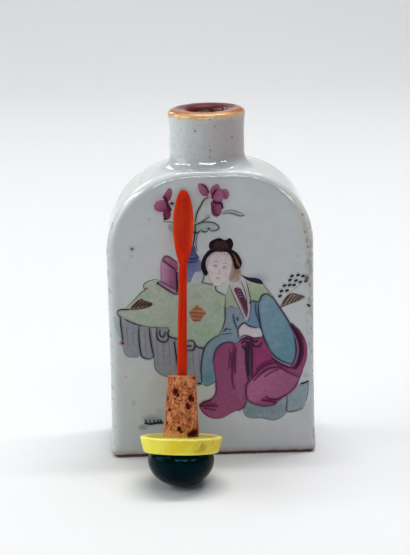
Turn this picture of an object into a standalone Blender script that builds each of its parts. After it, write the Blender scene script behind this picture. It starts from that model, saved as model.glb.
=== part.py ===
"""A flattened porcelain snuff bottle, with its stopper standing upside down and leaning on the front panel.

Metres, +Z up, the painted front panel facing -Y. The origin is the middle of the whole group's
box, on the surface that it stands on. The bottle is hollow, and its stopper is four glued pieces:
a glass cap, a collar, a cork and a spoon.
"""

import math

import bmesh
import bpy
from mathutils import Matrix, Vector

MM = 0.001

# Bottle body, a rounded slab that is taller than wide
body_width = 41.1 * MM
body_depth = 18.0 * MM
body_height = 58.9 * MM
shoulder_radius_left = 16.5 * MM
shoulder_radius_right = 15.0 * MM
foot_corner_radius = 1.5 * MM
edge_round = 2.1 * MM
foot_edge_round = 0.4 * MM
base_flare = 0.35 * MM
base_flare_height = 26.0 * MM

# Bottle walls, the recess under the foot and the hollow inside
wall = 2.3 * MM
inner_edge_round = 1.6 * MM
foot_ring_width = 2.4 * MM
foot_recess_depth = 1.0 * MM

# Neck, whose lip dishes towards a small mouth
neck_height = 11.1 * MM
neck_radius = 7.45 * MM
neck_base_fillet = 2.4 * MM
neck_flare_height = 2.5 * MM
lip_radius = 7.7 * MM
lip_round = 1.0 * MM
lip_dish_depth = 0.6 * MM
mouth_radius = 3.4 * MM
mouth_edge = 0.4 * MM

# Stopper, sized from the mouth and the lip that it closes
collar_overhang = 0.3 * MM
collar_height = 2.8 * MM
collar_taper = 0.8 * MM
collar_edge_round = 0.35 * MM
cork_squeeze = 0.1 * MM
cork_taper = 0.85 * MM
cork_length = 11.5 * MM
cork_edge_round = 0.25 * MM
cap_inset = 0.74 * MM
cap_dome_height = 5.2 * MM
cap_shoulder_height = 1.5 * MM
cap_shoulder_inset = 0.6 * MM
cap_dome_power = 1.8

# Spoon
spoon_stem_radius_root = 0.95 * MM
spoon_stem_radius_top = 0.78 * MM
spoon_stem_length = 21.0 * MM
spoon_bowl_length = 15.0 * MM
spoon_bowl_width = 4.0 * MM
spoon_bowl_thickness = 0.9 * MM
spoon_bowl_dish = 0.35 * MM
spoon_socket_depth = 4.0 * MM

# How the stopper leans: its foot stands left of the middle, and its axis tips back and to the right
stopper_foot_x = -7.1 * MM
lean_back = math.radians(16.2)
lean_right = math.radians(2.2)

# Air left between pieces that touch
seat_gap = 0.3 * MM

# How finely round shapes are faceted
shoulder_steps = 12
foot_corner_steps = 4
side_steps = 5
round_steps = 5
neck_facets = 48
stopper_facets = 40
stem_facets = 16

half_width = body_width / 2
half_depth = body_depth / 2
rim_height = body_height + neck_height
inner_floor = foot_recess_depth + wall
mouth_top = rim_height - lip_dish_depth
collar_radius = lip_radius + collar_overhang
collar_foot_radius = collar_radius - collar_taper
cork_root_radius = mouth_radius + cork_squeeze
cork_tip_radius = cork_root_radius - cork_taper
cap_radius = collar_foot_radius - cap_inset
cap_height = cap_dome_height + cap_shoulder_height

for old in list(bpy.data.objects):
    bpy.data.objects.remove(old)


def material(name, colour, roughness, metallic=0.0):
    """A Principled material with one colour."""
    made = bpy.data.materials.new(name)
    made.use_nodes = True
    shader = made.node_tree.nodes["Principled BSDF"]
    shader.inputs["Base Color"].default_value = (*colour, 1.0)
    shader.inputs["Roughness"].default_value = roughness
    shader.inputs["Metallic"].default_value = metallic
    return made


def add_object(name, shape, finish=None, parent=None):
    """Puts a bmesh in the scene as a named object, shaded smooth with its sharp edges kept."""
    bmesh.ops.recalc_face_normals(shape, faces=shape.faces)
    mesh = bpy.data.meshes.new(name)
    shape.to_mesh(mesh)
    shape.free()
    mesh.shade_smooth()
    mesh.set_sharp_from_angle(angle=math.radians(35))
    made = bpy.data.objects.new(name, mesh)
    bpy.context.scene.collection.objects.link(made)
    made.parent = parent
    if finish:
        mesh.materials.append(finish)
    return made


def lofted(rings):
    """A closed bmesh through rings of points that match one to one, with both ends capped."""
    shape = bmesh.new()
    loops = [[shape.verts.new(point) for point in ring] for ring in rings]
    count = len(loops[0])
    for near, far in zip(loops, loops[1:]):
        for i in range(count):
            j = (i + 1) % count
            shape.faces.new((near[i], near[j], far[j], far[i]))
    shape.faces.new(loops[0])
    shape.faces.new(loops[-1])
    return shape


def turned(profile, facets):
    """A closed bmesh turned about Z from (radius, height) points that start and end on the axis."""
    shape = bmesh.new()
    points = [shape.verts.new((radius, 0.0, height)) for radius, height in profile]
    edges = [shape.edges.new(pair) for pair in zip(points, points[1:])]
    bmesh.ops.spin(
        shape,
        geom=points + edges,
        axis=(0.0, 0.0, 1.0),
        cent=(0.0, 0.0, 0.0),
        angle=2 * math.pi,
        steps=facets,
        use_merge=True,
        use_duplicate=False,
    )
    bmesh.ops.remove_doubles(shape, verts=shape.verts, dist=1e-7)
    return shape


def arc(centre_x, centre_z, radius, start, end, steps):
    """Points along an arc, its two ends among them, with angles in radians from +X towards +Z."""
    angles = [start + (end - start) * i / steps for i in range(steps + 1)]
    return [(centre_x + radius * math.cos(a), centre_z + radius * math.sin(a)) for a in angles]


def flared(x, z):
    """x with the slight spread that the sides have towards the foot."""
    rise = max(0.0, 1.0 - z / base_flare_height)
    return x * (1.0 + base_flare / half_width * rise * rise)


def slab_outline(inset, low, corner):
    """Points round a slab in X and Z, each with its outward direction, drawn in by inset from the body."""
    side = half_width - inset
    top = body_height - inset
    left = shoulder_radius_left - inset
    right = shoulder_radius_right - inset
    bends = [
        (side - corner, low + corner, corner, -math.pi / 2, foot_corner_steps),
        (side - right, top - right, right, 0.0, shoulder_steps),
        (left - side, top - left, left, math.pi / 2, shoulder_steps),
        (corner - side, low + corner, corner, math.pi, foot_corner_steps),
    ]
    points = []
    for centre_x, centre_z, radius, start, steps in bends:
        for i in range(steps + 1):
            angle = start + math.pi / 2 * i / steps
            across = math.cos(angle)
            up = math.sin(angle)
            points.append((centre_x + radius * across, centre_z + radius * up, across, up))
    # The two straight sides take extra points, so that they can spread towards the foot
    filled = []
    for near, far in zip(points, points[1:] + points[:1]):
        filled.append(near)
        if abs(near[0] - far[0]) < 1e-9:
            for i in range(1, side_steps):
                share = i / side_steps
                filled.append((near[0], near[1] + (far[1] - near[1]) * share, near[2], 0.0))
    return filled


def slab(outline, depth, rounding, foot_rounding):
    """A slab of that depth about y = 0 on an outline, its front and back edges rounded less at the foot."""
    low = min(z for _, z, _, _ in outline)
    rings = []
    for side in (-1, 1):
        turns = [i / round_steps * math.pi / 2 for i in range(round_steps + 1)]
        if side < 0:
            turns.reverse()
        for turn in turns:
            ring = []
            for x, z, across, up in outline:
                rise = min(1.0, (z - low) / (2 * foot_corner_radius))
                radius = foot_rounding + (rounding - foot_rounding) * rise
                inset = radius * (1 - math.cos(turn))
                y = side * (depth / 2 - radius * (1 - math.sin(turn)))
                z -= up * inset
                ring.append((flared(x - across * inset, z), y, z))
            rings.append(ring)
    return lofted(rings)


def top_height(x, y):
    """The height of the slab's upper surface above a point, with its edges and shoulders rounded."""
    over = min(max(0.0, abs(y) - half_depth + edge_round), edge_round)
    inset = edge_round - math.sqrt(edge_round ** 2 - over ** 2)
    radius = shoulder_radius_right if x > 0 else shoulder_radius_left
    sideways = max(0.0, abs(x) - half_width + radius)
    rise = math.sqrt(max(0.0, (radius - inset) ** 2 - sideways ** 2))
    return body_height - radius + rise


def fillet_ring(share):
    """One ring of the concave fillet at the neck's foot, from 0 on the slab to 1 on the neck's side."""
    ring = []
    for i in range(neck_facets):
        angle = 2 * math.pi * i / neck_facets
        room = half_depth / max(abs(math.sin(angle)), 0.1) - neck_radius
        reach = min(neck_base_fillet, max(0.6 * room, 0.1 * neck_base_fillet))
        radius = neck_radius + reach * (1 - share)
        x = radius * math.cos(angle)
        y = radius * math.sin(angle)
        rise = neck_base_fillet * (1 - math.sqrt(1 - min(abs(share), 1.0) ** 2))
        # A share below 0 dips into the slab, so that the two surfaces cross cleanly
        ring.append((x, y, top_height(x, y) + (rise if share >= 0 else share * neck_base_fillet)))
    return ring


def flat_ring(radius, z):
    angles = [2 * math.pi * i / neck_facets for i in range(neck_facets)]
    return [(radius * math.cos(a), radius * math.sin(a), z) for a in angles]


def solid_neck():
    """The neck before it is bored, from inside the body to the lip, which dips towards the middle."""
    rings = [flat_ring(neck_radius, body_height - 2 * wall), fillet_ring(-0.15)]
    rings += [fillet_ring(i / round_steps) for i in range(1, round_steps + 1)]
    lip_low = rim_height - lip_round
    rings.append(flat_ring(neck_radius, body_height + neck_base_fillet + neck_flare_height))
    for radius, z in arc(lip_radius - lip_round, lip_low, lip_round, 0.0, math.pi / 2, round_steps):
        rings.append(flat_ring(radius, z))
    rings.append(flat_ring(mouth_radius / 2, mouth_top))
    return lofted(rings)


def mouth_profile():
    """The bore of the neck, widened a little at its top edge, long enough to reach the hollow."""
    bottom = body_height - 2 * wall
    return [
        (0.0, bottom),
        (mouth_radius, bottom),
        (mouth_radius, mouth_top - mouth_edge),
        (mouth_radius + 2 * mouth_edge, mouth_top + mouth_edge),
        (mouth_radius + 2 * mouth_edge, rim_height + wall),
        (0.0, rim_height + wall),
    ]


def foot_recess():
    """The shallow rounded recess under the foot, which leaves a ring to stand on."""
    half_x = half_width + base_flare - foot_edge_round - foot_ring_width
    half_y = half_depth - foot_edge_round - foot_ring_width
    steps = 4 * round_steps
    ends = [
        (half_x - half_y, -math.pi / 2, math.pi / 2),
        (half_y - half_x, math.pi / 2, 1.5 * math.pi),
    ]
    points = []
    for centre, start, end in ends:
        points += arc(centre, 0.0, half_y, start, end, steps)
    low = [(x, y, -foot_recess_depth) for x, y in points]
    high = [(x, y, foot_recess_depth) for x, y in points]
    return lofted([low, high])


def combine(target, tool, operation):
    """Adds a Boolean modifier, and hides its tool from the render."""
    tool.hide_render = True
    tool.display_type = "WIRE"
    cut = target.modifiers.new(tool.name, "BOOLEAN")
    cut.operation = operation
    cut.object = tool
    cut.solver = "EXACT"


def build_bottle(holder):
    """The hollow bottle: a slab and a neck in one, less the hollow, the bore and the foot's recess."""
    porcelain = material("white_porcelain", (0.72, 0.75, 0.74), 0.12)
    outside = slab_outline(0.0, 0.0, foot_corner_radius)
    body = slab(outside, body_depth, edge_round, foot_edge_round)
    bottle = add_object("bottle", body, porcelain, holder)
    neck = add_object("neck_tool", solid_neck(), parent=holder)
    inside = slab_outline(wall, inner_floor, inner_edge_round)
    hollow = slab(inside, body_depth - 2 * wall, inner_edge_round, inner_edge_round)
    hollow_tool = add_object("hollow_tool", hollow, parent=holder)
    mouth = add_object("mouth_tool", turned(mouth_profile(), neck_facets), parent=holder)
    recess = add_object("foot_recess_tool", foot_recess(), parent=holder)
    combine(bottle, neck, "UNION")
    combine(bottle, hollow_tool, "DIFFERENCE")
    combine(bottle, mouth, "DIFFERENCE")
    combine(bottle, recess, "DIFFERENCE")
    return bottle


def cap_profile():
    """The cap from its apex at height 0 up to its flat face under the collar."""
    profile = []
    for i in range(3 * round_steps + 1):
        # Even steps in angle keep the apex and the widest place equally smooth
        angle = i / (3 * round_steps) * math.pi / 2
        radius = cap_radius * math.sin(angle) ** (2 / cap_dome_power)
        depth = cap_dome_height * math.cos(angle) ** (2 / cap_dome_power)
        profile.append((radius, cap_dome_height - depth))
    for i in range(1, round_steps + 1):
        angle = i / round_steps * math.pi / 2
        radius = cap_radius - cap_shoulder_inset * (1 - math.cos(angle))
        profile.append((radius, cap_dome_height + cap_shoulder_height * math.sin(angle)))
    profile.append((0.0, cap_height))
    return profile


def collar_profile():
    """The collar, a disc that spreads upwards, with both its edges softened."""
    soft = collar_edge_round
    low = cap_height + seat_gap
    high = low + collar_height
    profile = [(0.0, low)]
    profile += arc(collar_foot_radius - soft, low + soft, soft, -math.pi / 2, 0.0, 3)
    profile += arc(collar_radius - soft, high - soft, soft, 0.0, math.pi / 2, 3)
    profile.append((0.0, high))
    return profile


def cork_profile(low):
    """The tapering cork, with its narrow end up and a socket for the spoon in it."""
    soft = cork_edge_round
    high = low + cork_length
    socket = spoon_stem_radius_root + seat_gap
    profile = [(0.0, low), (cork_root_radius, low)]
    profile += arc(cork_tip_radius - soft, high - soft, soft, 0.0, math.pi / 2, 3)
    profile += [(socket, high), (socket, high - spoon_socket_depth - seat_gap)]
    profile.append((0.0, high - spoon_socket_depth - seat_gap))
    return profile


def bowl_half_width(share):
    """The leaf-shaped bowl's half width at a share of its length, from the stem to the blunt tip."""
    leaf = spoon_bowl_width / 2 * math.sin(math.pi * share ** 1.16) ** 0.42
    stem = spoon_stem_radius_top * max(0.0, 1.0 - share / 0.2)
    # The fourth powers round the corner where the leaf leaves the stem
    return (leaf ** 4 + stem ** 4) ** 0.25


def spoon_section(height, half_x, half_y, dish):
    """One flat ring of the spoon, dished backwards across its width."""
    ring = []
    for i in range(stem_facets):
        angle = 2 * math.pi * i / stem_facets
        across = math.cos(angle)
        ring.append((half_x * across, half_y * math.sin(angle) + dish * (1 - across * across), height))
    return ring


def spoon_rings(root):
    """Rings from the end in the cork, along the round stem, to the tip of the bowl."""
    rings = [spoon_section(root, spoon_stem_radius_root, spoon_stem_radius_root, 0.0)]
    mouth = root + spoon_socket_depth
    for i in range(side_steps + 1):
        share = i / side_steps
        radius = spoon_stem_radius_root + (spoon_stem_radius_top - spoon_stem_radius_root) * share
        rings.append(spoon_section(mouth + spoon_stem_length * share, radius, radius, 0.0))
    bowl = mouth + spoon_stem_length
    steps = 6 * round_steps
    for i in range(1, steps):
        # Cosine spacing packs the rings where the outline turns quickly, at both ends
        share = (1 - math.cos(math.pi * i / steps)) / 2
        half_x = bowl_half_width(share)
        fade = min(1.0, share / 0.25, (1 - share) / 0.25)
        thinning = (spoon_stem_radius_top - spoon_bowl_thickness / 2) * min(1.0, share / 0.25)
        half_y = (spoon_stem_radius_top - thinning) * math.sqrt(min(1.0, (1 - share) / 0.1))
        height = bowl + spoon_bowl_length * share
        rings.append(spoon_section(height, half_x, half_y, spoon_bowl_dish * fade))
    return rings


def build_stopper(parent):
    """The four glued pieces of the stopper along one axis, its cap's apex at the axis's origin."""
    glass = material("green_glass", (0.004, 0.018, 0.026), 0.08)
    yellow = material("yellow_glass", (0.66, 0.55, 0.06), 0.3)
    bark = material("cork", (0.42, 0.22, 0.11), 0.85)
    bone = material("orange_bone", (0.5, 0.03, 0.004), 0.4)
    cork_low = cap_height + collar_height + 2 * seat_gap
    spoon_low = cork_low + cork_length - spoon_socket_depth
    return [
        add_object("stopper_cap", turned(cap_profile(), stopper_facets), glass, parent),
        add_object("stopper_collar", turned(collar_profile(), stopper_facets), yellow, parent),
        add_object("stopper_cork", turned(cork_profile(cork_low), stopper_facets), bark, parent),
        add_object("spoon", lofted(spoon_rings(spoon_low)), bone, parent),
    ]


def corners_of(objects):
    """Every vertex of these objects, in world space."""
    bpy.context.view_layer.update()
    return [thing.matrix_world @ vertex.co for thing in objects for vertex in thing.data.vertices]


def empty(name):
    made = bpy.data.objects.new(name, None)
    bpy.context.scene.collection.objects.link(made)
    return made


def main():
    bottle_place = empty("bottle_place")
    bottle = build_bottle(bottle_place)
    stopper_place = empty("stopper_place")
    pieces = build_stopper(stopper_place)

    # Lean the stopper, then lower it to the floor and bring its spoon up to the front panel
    lean = Matrix.Rotation(lean_right, 4, "Y") @ Matrix.Rotation(-lean_back, 4, "X")
    stopper_place.rotation_euler = lean.to_euler()
    leaned = corners_of(pieces)
    drop = min(point.z for point in leaned)
    reach = max(point.y for point in leaned)
    stopper_place.location = (stopper_foot_x, -half_depth - seat_gap - reach, -drop)

    # The origin is the middle of the whole group's box, so both places move back by its offset
    everything = corners_of([bottle, *pieces])
    middle_y = (min(p.y for p in everything) + max(p.y for p in everything)) / 2
    middle_x = (min(p.x for p in everything) + max(p.x for p in everything)) / 2
    shift = Vector((-middle_x, -middle_y, 0.0))
    bottle_place.location = shift
    stopper_place.location += shift
    bpy.context.view_layer.update()


main()
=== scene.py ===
# %% [markdown]
# # A painted porcelain snuff bottle and its stopper
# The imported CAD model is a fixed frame: it says how large each piece is and where it stands. This
# lesson dresses it. Each step makes one piece or one finish, and says what it is on the real thing.

# %% Load the frame
import math

import bmesh
import bpy
import numpy as np
from mathutils import Matrix, Vector, noise
from mathutils.geometry import delaunay_2d_cdt


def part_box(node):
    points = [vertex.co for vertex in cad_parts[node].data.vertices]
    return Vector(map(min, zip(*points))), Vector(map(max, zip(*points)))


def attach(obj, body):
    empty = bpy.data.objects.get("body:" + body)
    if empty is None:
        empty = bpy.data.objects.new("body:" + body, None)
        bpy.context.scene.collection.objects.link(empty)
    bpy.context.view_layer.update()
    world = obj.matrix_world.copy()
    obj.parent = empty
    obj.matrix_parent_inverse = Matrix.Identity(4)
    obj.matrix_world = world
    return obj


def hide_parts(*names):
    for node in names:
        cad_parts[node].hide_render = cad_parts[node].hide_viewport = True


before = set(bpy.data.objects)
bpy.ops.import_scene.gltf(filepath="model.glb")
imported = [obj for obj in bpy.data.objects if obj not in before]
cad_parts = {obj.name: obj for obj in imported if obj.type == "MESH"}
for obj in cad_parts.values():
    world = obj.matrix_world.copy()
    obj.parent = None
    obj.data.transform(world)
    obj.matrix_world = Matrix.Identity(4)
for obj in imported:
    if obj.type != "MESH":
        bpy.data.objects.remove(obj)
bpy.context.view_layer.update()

MM = 0.001
low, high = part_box("bottle")
bottle_axis = Vector(((low.x + high.x) / 2, (low.y + high.y) / 2, 0.0)) / MM
print("bottle", [round(side / MM, 2) for side in high - low], "mm, its axis at", bottle_axis)

# %% [markdown]
# ## The camera
# The picture was taken from a little above the neck, almost square to the painted front. The camera is
# placed in millimetres from the bottle's axis and aimed with three angles, so each can be read and changed.

# %% Camera
squares_wide, squares_high, lens_squares, film = 410, 555, 1571.19, 36.0
distance, eye_height = 300, 119.815
swing, pitch, roll = math.radians(-1.525), math.radians(15.32), math.radians(-1.159)
eye = Vector((-1.156 + distance * math.sin(swing), -9.0 - distance * math.cos(swing), eye_height))
ahead = Vector((-math.sin(swing) * math.cos(pitch), math.cos(swing) * math.cos(pitch), -math.sin(pitch)))
level = ahead.cross(Vector((0, 0, 1))).normalized()
upright = level.cross(ahead)
right = math.cos(roll) * level + math.sin(roll) * upright
up = math.cos(roll) * upright - math.sin(roll) * level

camera_data = bpy.data.cameras.new("camera")
camera_data.sensor_fit = "HORIZONTAL"
camera_data.sensor_width = film
camera_data.lens = film * lens_squares / squares_wide
camera_data.clip_start = 0.01
camera = bpy.data.objects.new("camera", camera_data)
aim = Matrix((right, up, -ahead)).transposed().to_4x4()
aim.translation = (eye + bottle_axis) * MM
camera.matrix_world = aim
bpy.context.scene.collection.objects.link(camera)
bpy.context.scene.camera = camera
print("lens", round(camera_data.lens, 1), "mm, eye", camera.location)

# %% [markdown]
# ## Nodes as arithmetic
# A material is a small sum: so much of this colour here, so much of that one there. Wire wraps one
# socket, so that the sum can be written as Python and each operator adds its Math node.

# %% Wires
class Wire:
    """One socket. Arithmetic on it adds Math nodes to its tree."""

    def __init__(self, socket):
        self.socket = socket

    @staticmethod
    def node(tree, kind, settings=None, inputs=None, output=0):
        """Adds a node: its settings come first, then its sockets' values or links."""
        made = tree.nodes.new(kind)
        for name, value in (settings or {}).items():
            setattr(made, name, value)
        for name, value in (inputs or {}).items():
            if isinstance(value, Wire):
                tree.links.new(value.socket, made.inputs[name])
            else:
                made.inputs[name].default_value = value
        return Wire(made.outputs[output])

    def more(self, kind, settings=None, inputs=None, output=0):
        return Wire.node(self.socket.id_data, kind, settings, inputs, output)

    def maths(self, operation, *others):
        values = dict(enumerate([self, *others]))
        return self.more("ShaderNodeMath", {"operation": operation}, values)

    def reflected(self, operation, first):
        return self.more("ShaderNodeMath", {"operation": operation}, {0: first, 1: self})

    def __add__(self, other): return self.maths("ADD", other)
    def __radd__(self, other): return self.reflected("ADD", other)
    def __sub__(self, other): return self.maths("SUBTRACT", other)
    def __rsub__(self, other): return self.reflected("SUBTRACT", other)
    def __mul__(self, other): return self.maths("MULTIPLY", other)
    def __rmul__(self, other): return self.reflected("MULTIPLY", other)
    def __truediv__(self, other): return self.maths("DIVIDE", other)
    def __rtruediv__(self, other): return self.reflected("DIVIDE", other)
    def __pow__(self, other): return self.maths("POWER", other)

    def ramp(self, start, end):
        """0 below start, 1 above end, smooth between, also where start is the larger."""
        if start > end:
            return 1 - self.ramp(end, start)
        return self.more("ShaderNodeMapRange", {"interpolation_type": "SMOOTHSTEP"},
                         {"Value": self, "From Min": start, "From Max": end})

    def part(self, axis):
        """The X, Y or Z part of a vector."""
        return self.more("ShaderNodeSeparateXYZ", None, {0: self}, axis)

    def reach(self, point):
        """How far a vector is from a point."""
        return self.more("ShaderNodeVectorMath", {"operation": "DISTANCE"}, {0: self, 1: point}, "Value")

    def noise(self, scale, detail=3.0, stretch=(1, 1, 1)):
        drawn = self.more("ShaderNodeVectorMath", {"operation": "MULTIPLY"}, {0: self, 1: stretch})
        return self.more("ShaderNodeTexNoise", None, {"Vector": drawn, "Scale": scale, "Detail": detail})

    def blend(self, below, above):
        """A colour that goes from below to above as this value goes from 0 to 1."""
        return self.more("ShaderNodeMix", {"data_type": "RGBA"}, {0: self, 6: below, 7: above}, 2)


# %% Colours and finishes
def paint_light(colour):
    """Linear light, as Blender counts it, of a colour given as three numbers up to 255."""
    return tuple(c / 255 / 12.92 if c < 11 else ((c / 255 + 0.055) / 1.055) ** 2.4 for c in colour)


# On the painted front, bare glaze is seen as this grey, so every paint is read against it
bare_glaze_seen = paint_light((157, 160, 163))
bare_glaze = (0.58, 0.602, 0.607)


def enamel(red, green, blue):
    """The paint that looks like this in the picture's light."""
    seen = paint_light((red, green, blue))
    return tuple(min(0.95, s / b * g) for s, b, g in zip(seen, bare_glaze_seen, bare_glaze))


def finish(name):
    """A new material: its tree, its shader, and a wire with the place on the piece in millimetres."""
    made = bpy.data.materials.new(name)
    made.use_nodes = True
    tree = made.node_tree
    shader = tree.nodes["Principled BSDF"]
    place = Wire.node(tree, "ShaderNodeAttribute", {"attribute_name": "local"}, output="Vector")
    return made, tree, shader, place


def connect(wire, socket):
    wire.socket.id_data.links.new(wire.socket, socket)


def flat(colour):
    return (*colour, 1.0)


def overlay(base, amount, *colour):
    """A colour with this much of another one laid over it."""
    return amount.blend(base, flat(colour))


def roughened(tree, shader, strength, distance, height):
    """Gives a finish a bumpy skin, and gives its wire. Distance is in metres."""
    values = {"Strength": strength, "Distance": distance, "Height": height}
    bump = Wire.node(tree, "ShaderNodeBump", None, values, "Normal")
    connect(bump, shader.inputs["Normal"])
    return bump


print("bare glaze", bare_glaze, "magenta", [round(c, 3) for c in enamel(117, 70, 94)])

# %% [markdown]
# ## Floor and light
# A photographer stands such a bottle on a white sweep under a broad soft lamp. Most of its front is
# lit by what the floor throws back, so it looks greyer than the floor. Narrow lamps above and in front
# and a window at the back left give the short bright streaks in the glaze.

# %% Sweep
def stand(name, points, faces, material):
    mesh = bpy.data.meshes.new(name)
    mesh.from_pydata(points, [], faces)
    mesh.materials.append(material)
    mesh.shade_smooth()
    made = bpy.data.objects.new(name, mesh)
    bpy.context.scene.collection.objects.link(made)
    return made


sweep_white, _, shader, _ = finish("sweep_white")
shader.inputs["Base Color"].default_value = (0.826, 0.827, 0.831, 1)
shader.inputs["Roughness"].default_value = 0.9
shader.inputs["Specular IOR Level"].default_value = 0.1
# The floor runs level, bends up through a quarter circle and goes on as a wall, all in metres
front_end, bend_start, bend, wall_top, half_across = -1.2, 0.5, 0.5, 1.6, 1.6
curve = [(front_end, 0.0), (bend_start, 0.0)]
for angle in [a * math.pi / 32 for a in range(1, 17)]:
    curve.append((bend_start + bend * math.sin(angle), bend - bend * math.cos(angle)))
curve.append((bend_start + bend, wall_top))
points = [(side, y, z) for y, z in curve for side in (-half_across, half_across)]
faces = [(2 * i, 2 * i + 1, 2 * i + 3, 2 * i + 2) for i in range(len(curve) - 1)]
stand("sweep", points, faces, sweep_white)
print("sweep", len(faces), "strips")


# %% Lamps
def lamp(name, place, aim_at, size, power, colour=(1, 1, 1), depth=None, only_seen=False):
    """A rectangular lamp in metres, facing a point. Only seen: it shows in the glaze but lights nothing."""
    data = bpy.data.lights.new(name, "AREA")
    data.shape = "RECTANGLE"
    data.size, data.size_y = size, depth or size
    data.energy = power
    data.color = colour
    made = bpy.data.objects.new(name, data)
    facing = (Vector(aim_at) - Vector(place)).to_track_quat("-Z", "Y")
    made.matrix_world = Matrix.Translation(place) @ facing.to_matrix().to_4x4()
    made.visible_camera = False
    made.visible_diffuse = not only_seen
    bpy.context.scene.collection.objects.link(made)
    return made


middle = (0, 0.01, 0.03)
lamp("overhead", (0.10, 0.16, 0.75), middle, 0.62, 2.6, (0.99, 0.99, 1.0))
lamp("tube_above", (0.12, 0.10, 0.74), (0.12, 0.0, 0.05), 0.56, 2.4, (0.99, 0.99, 1.0), 0.05)
lamp("backdrop", (0.0, 0.45, 0.70), (0, 1.1, 0.32), 0.5, 0.56)
lamp("card_left", (-0.70, -0.06, 0.30), middle, 0.5, 2.15, (0.93, 1.0, 0.98))
lamp("window_left", (-0.80, 0.34, 0.55), middle, 0.22, 1.2, (0.95, 0.99, 1.0), 0.15)
lamp("strip_above", (0.10, -0.42, 0.66), middle, 0.42, 0.7, depth=0.03)
lamp("strip_front", (0.01, -0.60, 0.29), middle, 0.50, 2.4, depth=0.07, only_seen=True)
lamp("strip_left", (-0.62, -0.12, 0.56), middle, 0.70, 2.0, depth=0.045, only_seen=True)
lamp("strip_right", (0.42, -0.42, 0.24), middle, 0.22, 0.8, depth=0.05, only_seen=True)
lamp("window_back", (-0.37, 0.67, 0.40), middle, 0.15, 0.6, depth=0.24, only_seen=True)
world = bpy.data.worlds.new("room")
bpy.context.scene.world = world
world.use_nodes = True
room = world.node_tree.nodes["Background"].inputs
room["Color"].default_value = (0.93, 0.96, 1.0, 1)
room["Strength"].default_value = 0.14
bpy.context.scene.view_settings.view_transform = "Standard"

# %% [markdown]
# ## The body's outline
# The body is a slab: an outline with large shoulders and small foot corners, rounded over at its front
# and back edges. The same sizes as in the CAD model are used, only drawn with many more points.

# %% Sizes
half_width, half_depth, body_height = 20.55, 9.0, 58.9
shoulder_left, shoulder_right, foot_corner = 16.5, 15.0, 1.5
edge_round, tight_round, foot_edge_round = 2.1, 1.15, 0.4
wall, inner_round = 2.3, 1.6
neck_radius, neck_fillet, mouth_radius = 7.45, 2.4, 3.4
flare, flare_height = 0.35, 26.0
hollow_floor, hollow_depth = 3.3, 13.4
step, hollow_step = 0.42, 1.2


def flared(x, z):
    """x with the spread that the sides have towards the foot."""
    rise = np.maximum(0.0, 1.0 - np.asarray(z) / flare_height)
    return x * (1.0 + flare / half_width * rise * rise)


print("half the foot's width", round(float(flared(half_width, 0.0)), 2), "mm")


# %% Round the slab
def slab_outline(inset, floor, corner, spacing):
    """Points round a slab, anticlockwise from the middle of its foot: x, z, outward x, outward z."""
    side, top = half_width - inset, body_height - inset
    left, right_hand = shoulder_left - inset, shoulder_right - inset
    bends = [(side - corner, floor + corner, corner, -90),
             (side - right_hand, top - right_hand, right_hand, 0),
             (left - side, top - left, left, 90),
             (corner - side, floor + corner, corner, 180)]
    ring = [(0.0, floor, 0.0, -1.0)]
    for x, z, radius, start in bends:
        steps = max(6, round(radius * math.pi / 2 / spacing))
        for i in range(steps + 1):
            angle = math.radians(start + 90 * i / steps)
            across, rise = math.cos(angle), math.sin(angle)
            ring.append((x + radius * across, z + radius * rise, across, rise))
    filled = []
    for near, far in zip(ring, ring[1:] + ring[:1]):
        steps = max(1, round(math.dist(near[:2], far[:2]) / spacing))
        for i in range(steps):
            spot = [a + (b - a) * i / steps for a, b in zip(near[:2], far[:2])]
            filled.append(spot + list(near[2:] if i < steps / 2 else far[2:]))
    made = np.array(filled)
    made[:, 2:] /= np.linalg.norm(made[:, 2:], axis=1)[:, None]
    return made


def over_top(x):
    """How round the body's edges are over its upper half: tight in the middle, softer towards the sides."""
    soft = np.clip(np.where(np.asarray(x) < 0, (-x - 2.0) / 15.0, (x - 6.0) / 14.0), 0, 1)
    return tight_round + (edge_round - tight_round) * soft * soft * (3 - 2 * soft)


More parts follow.
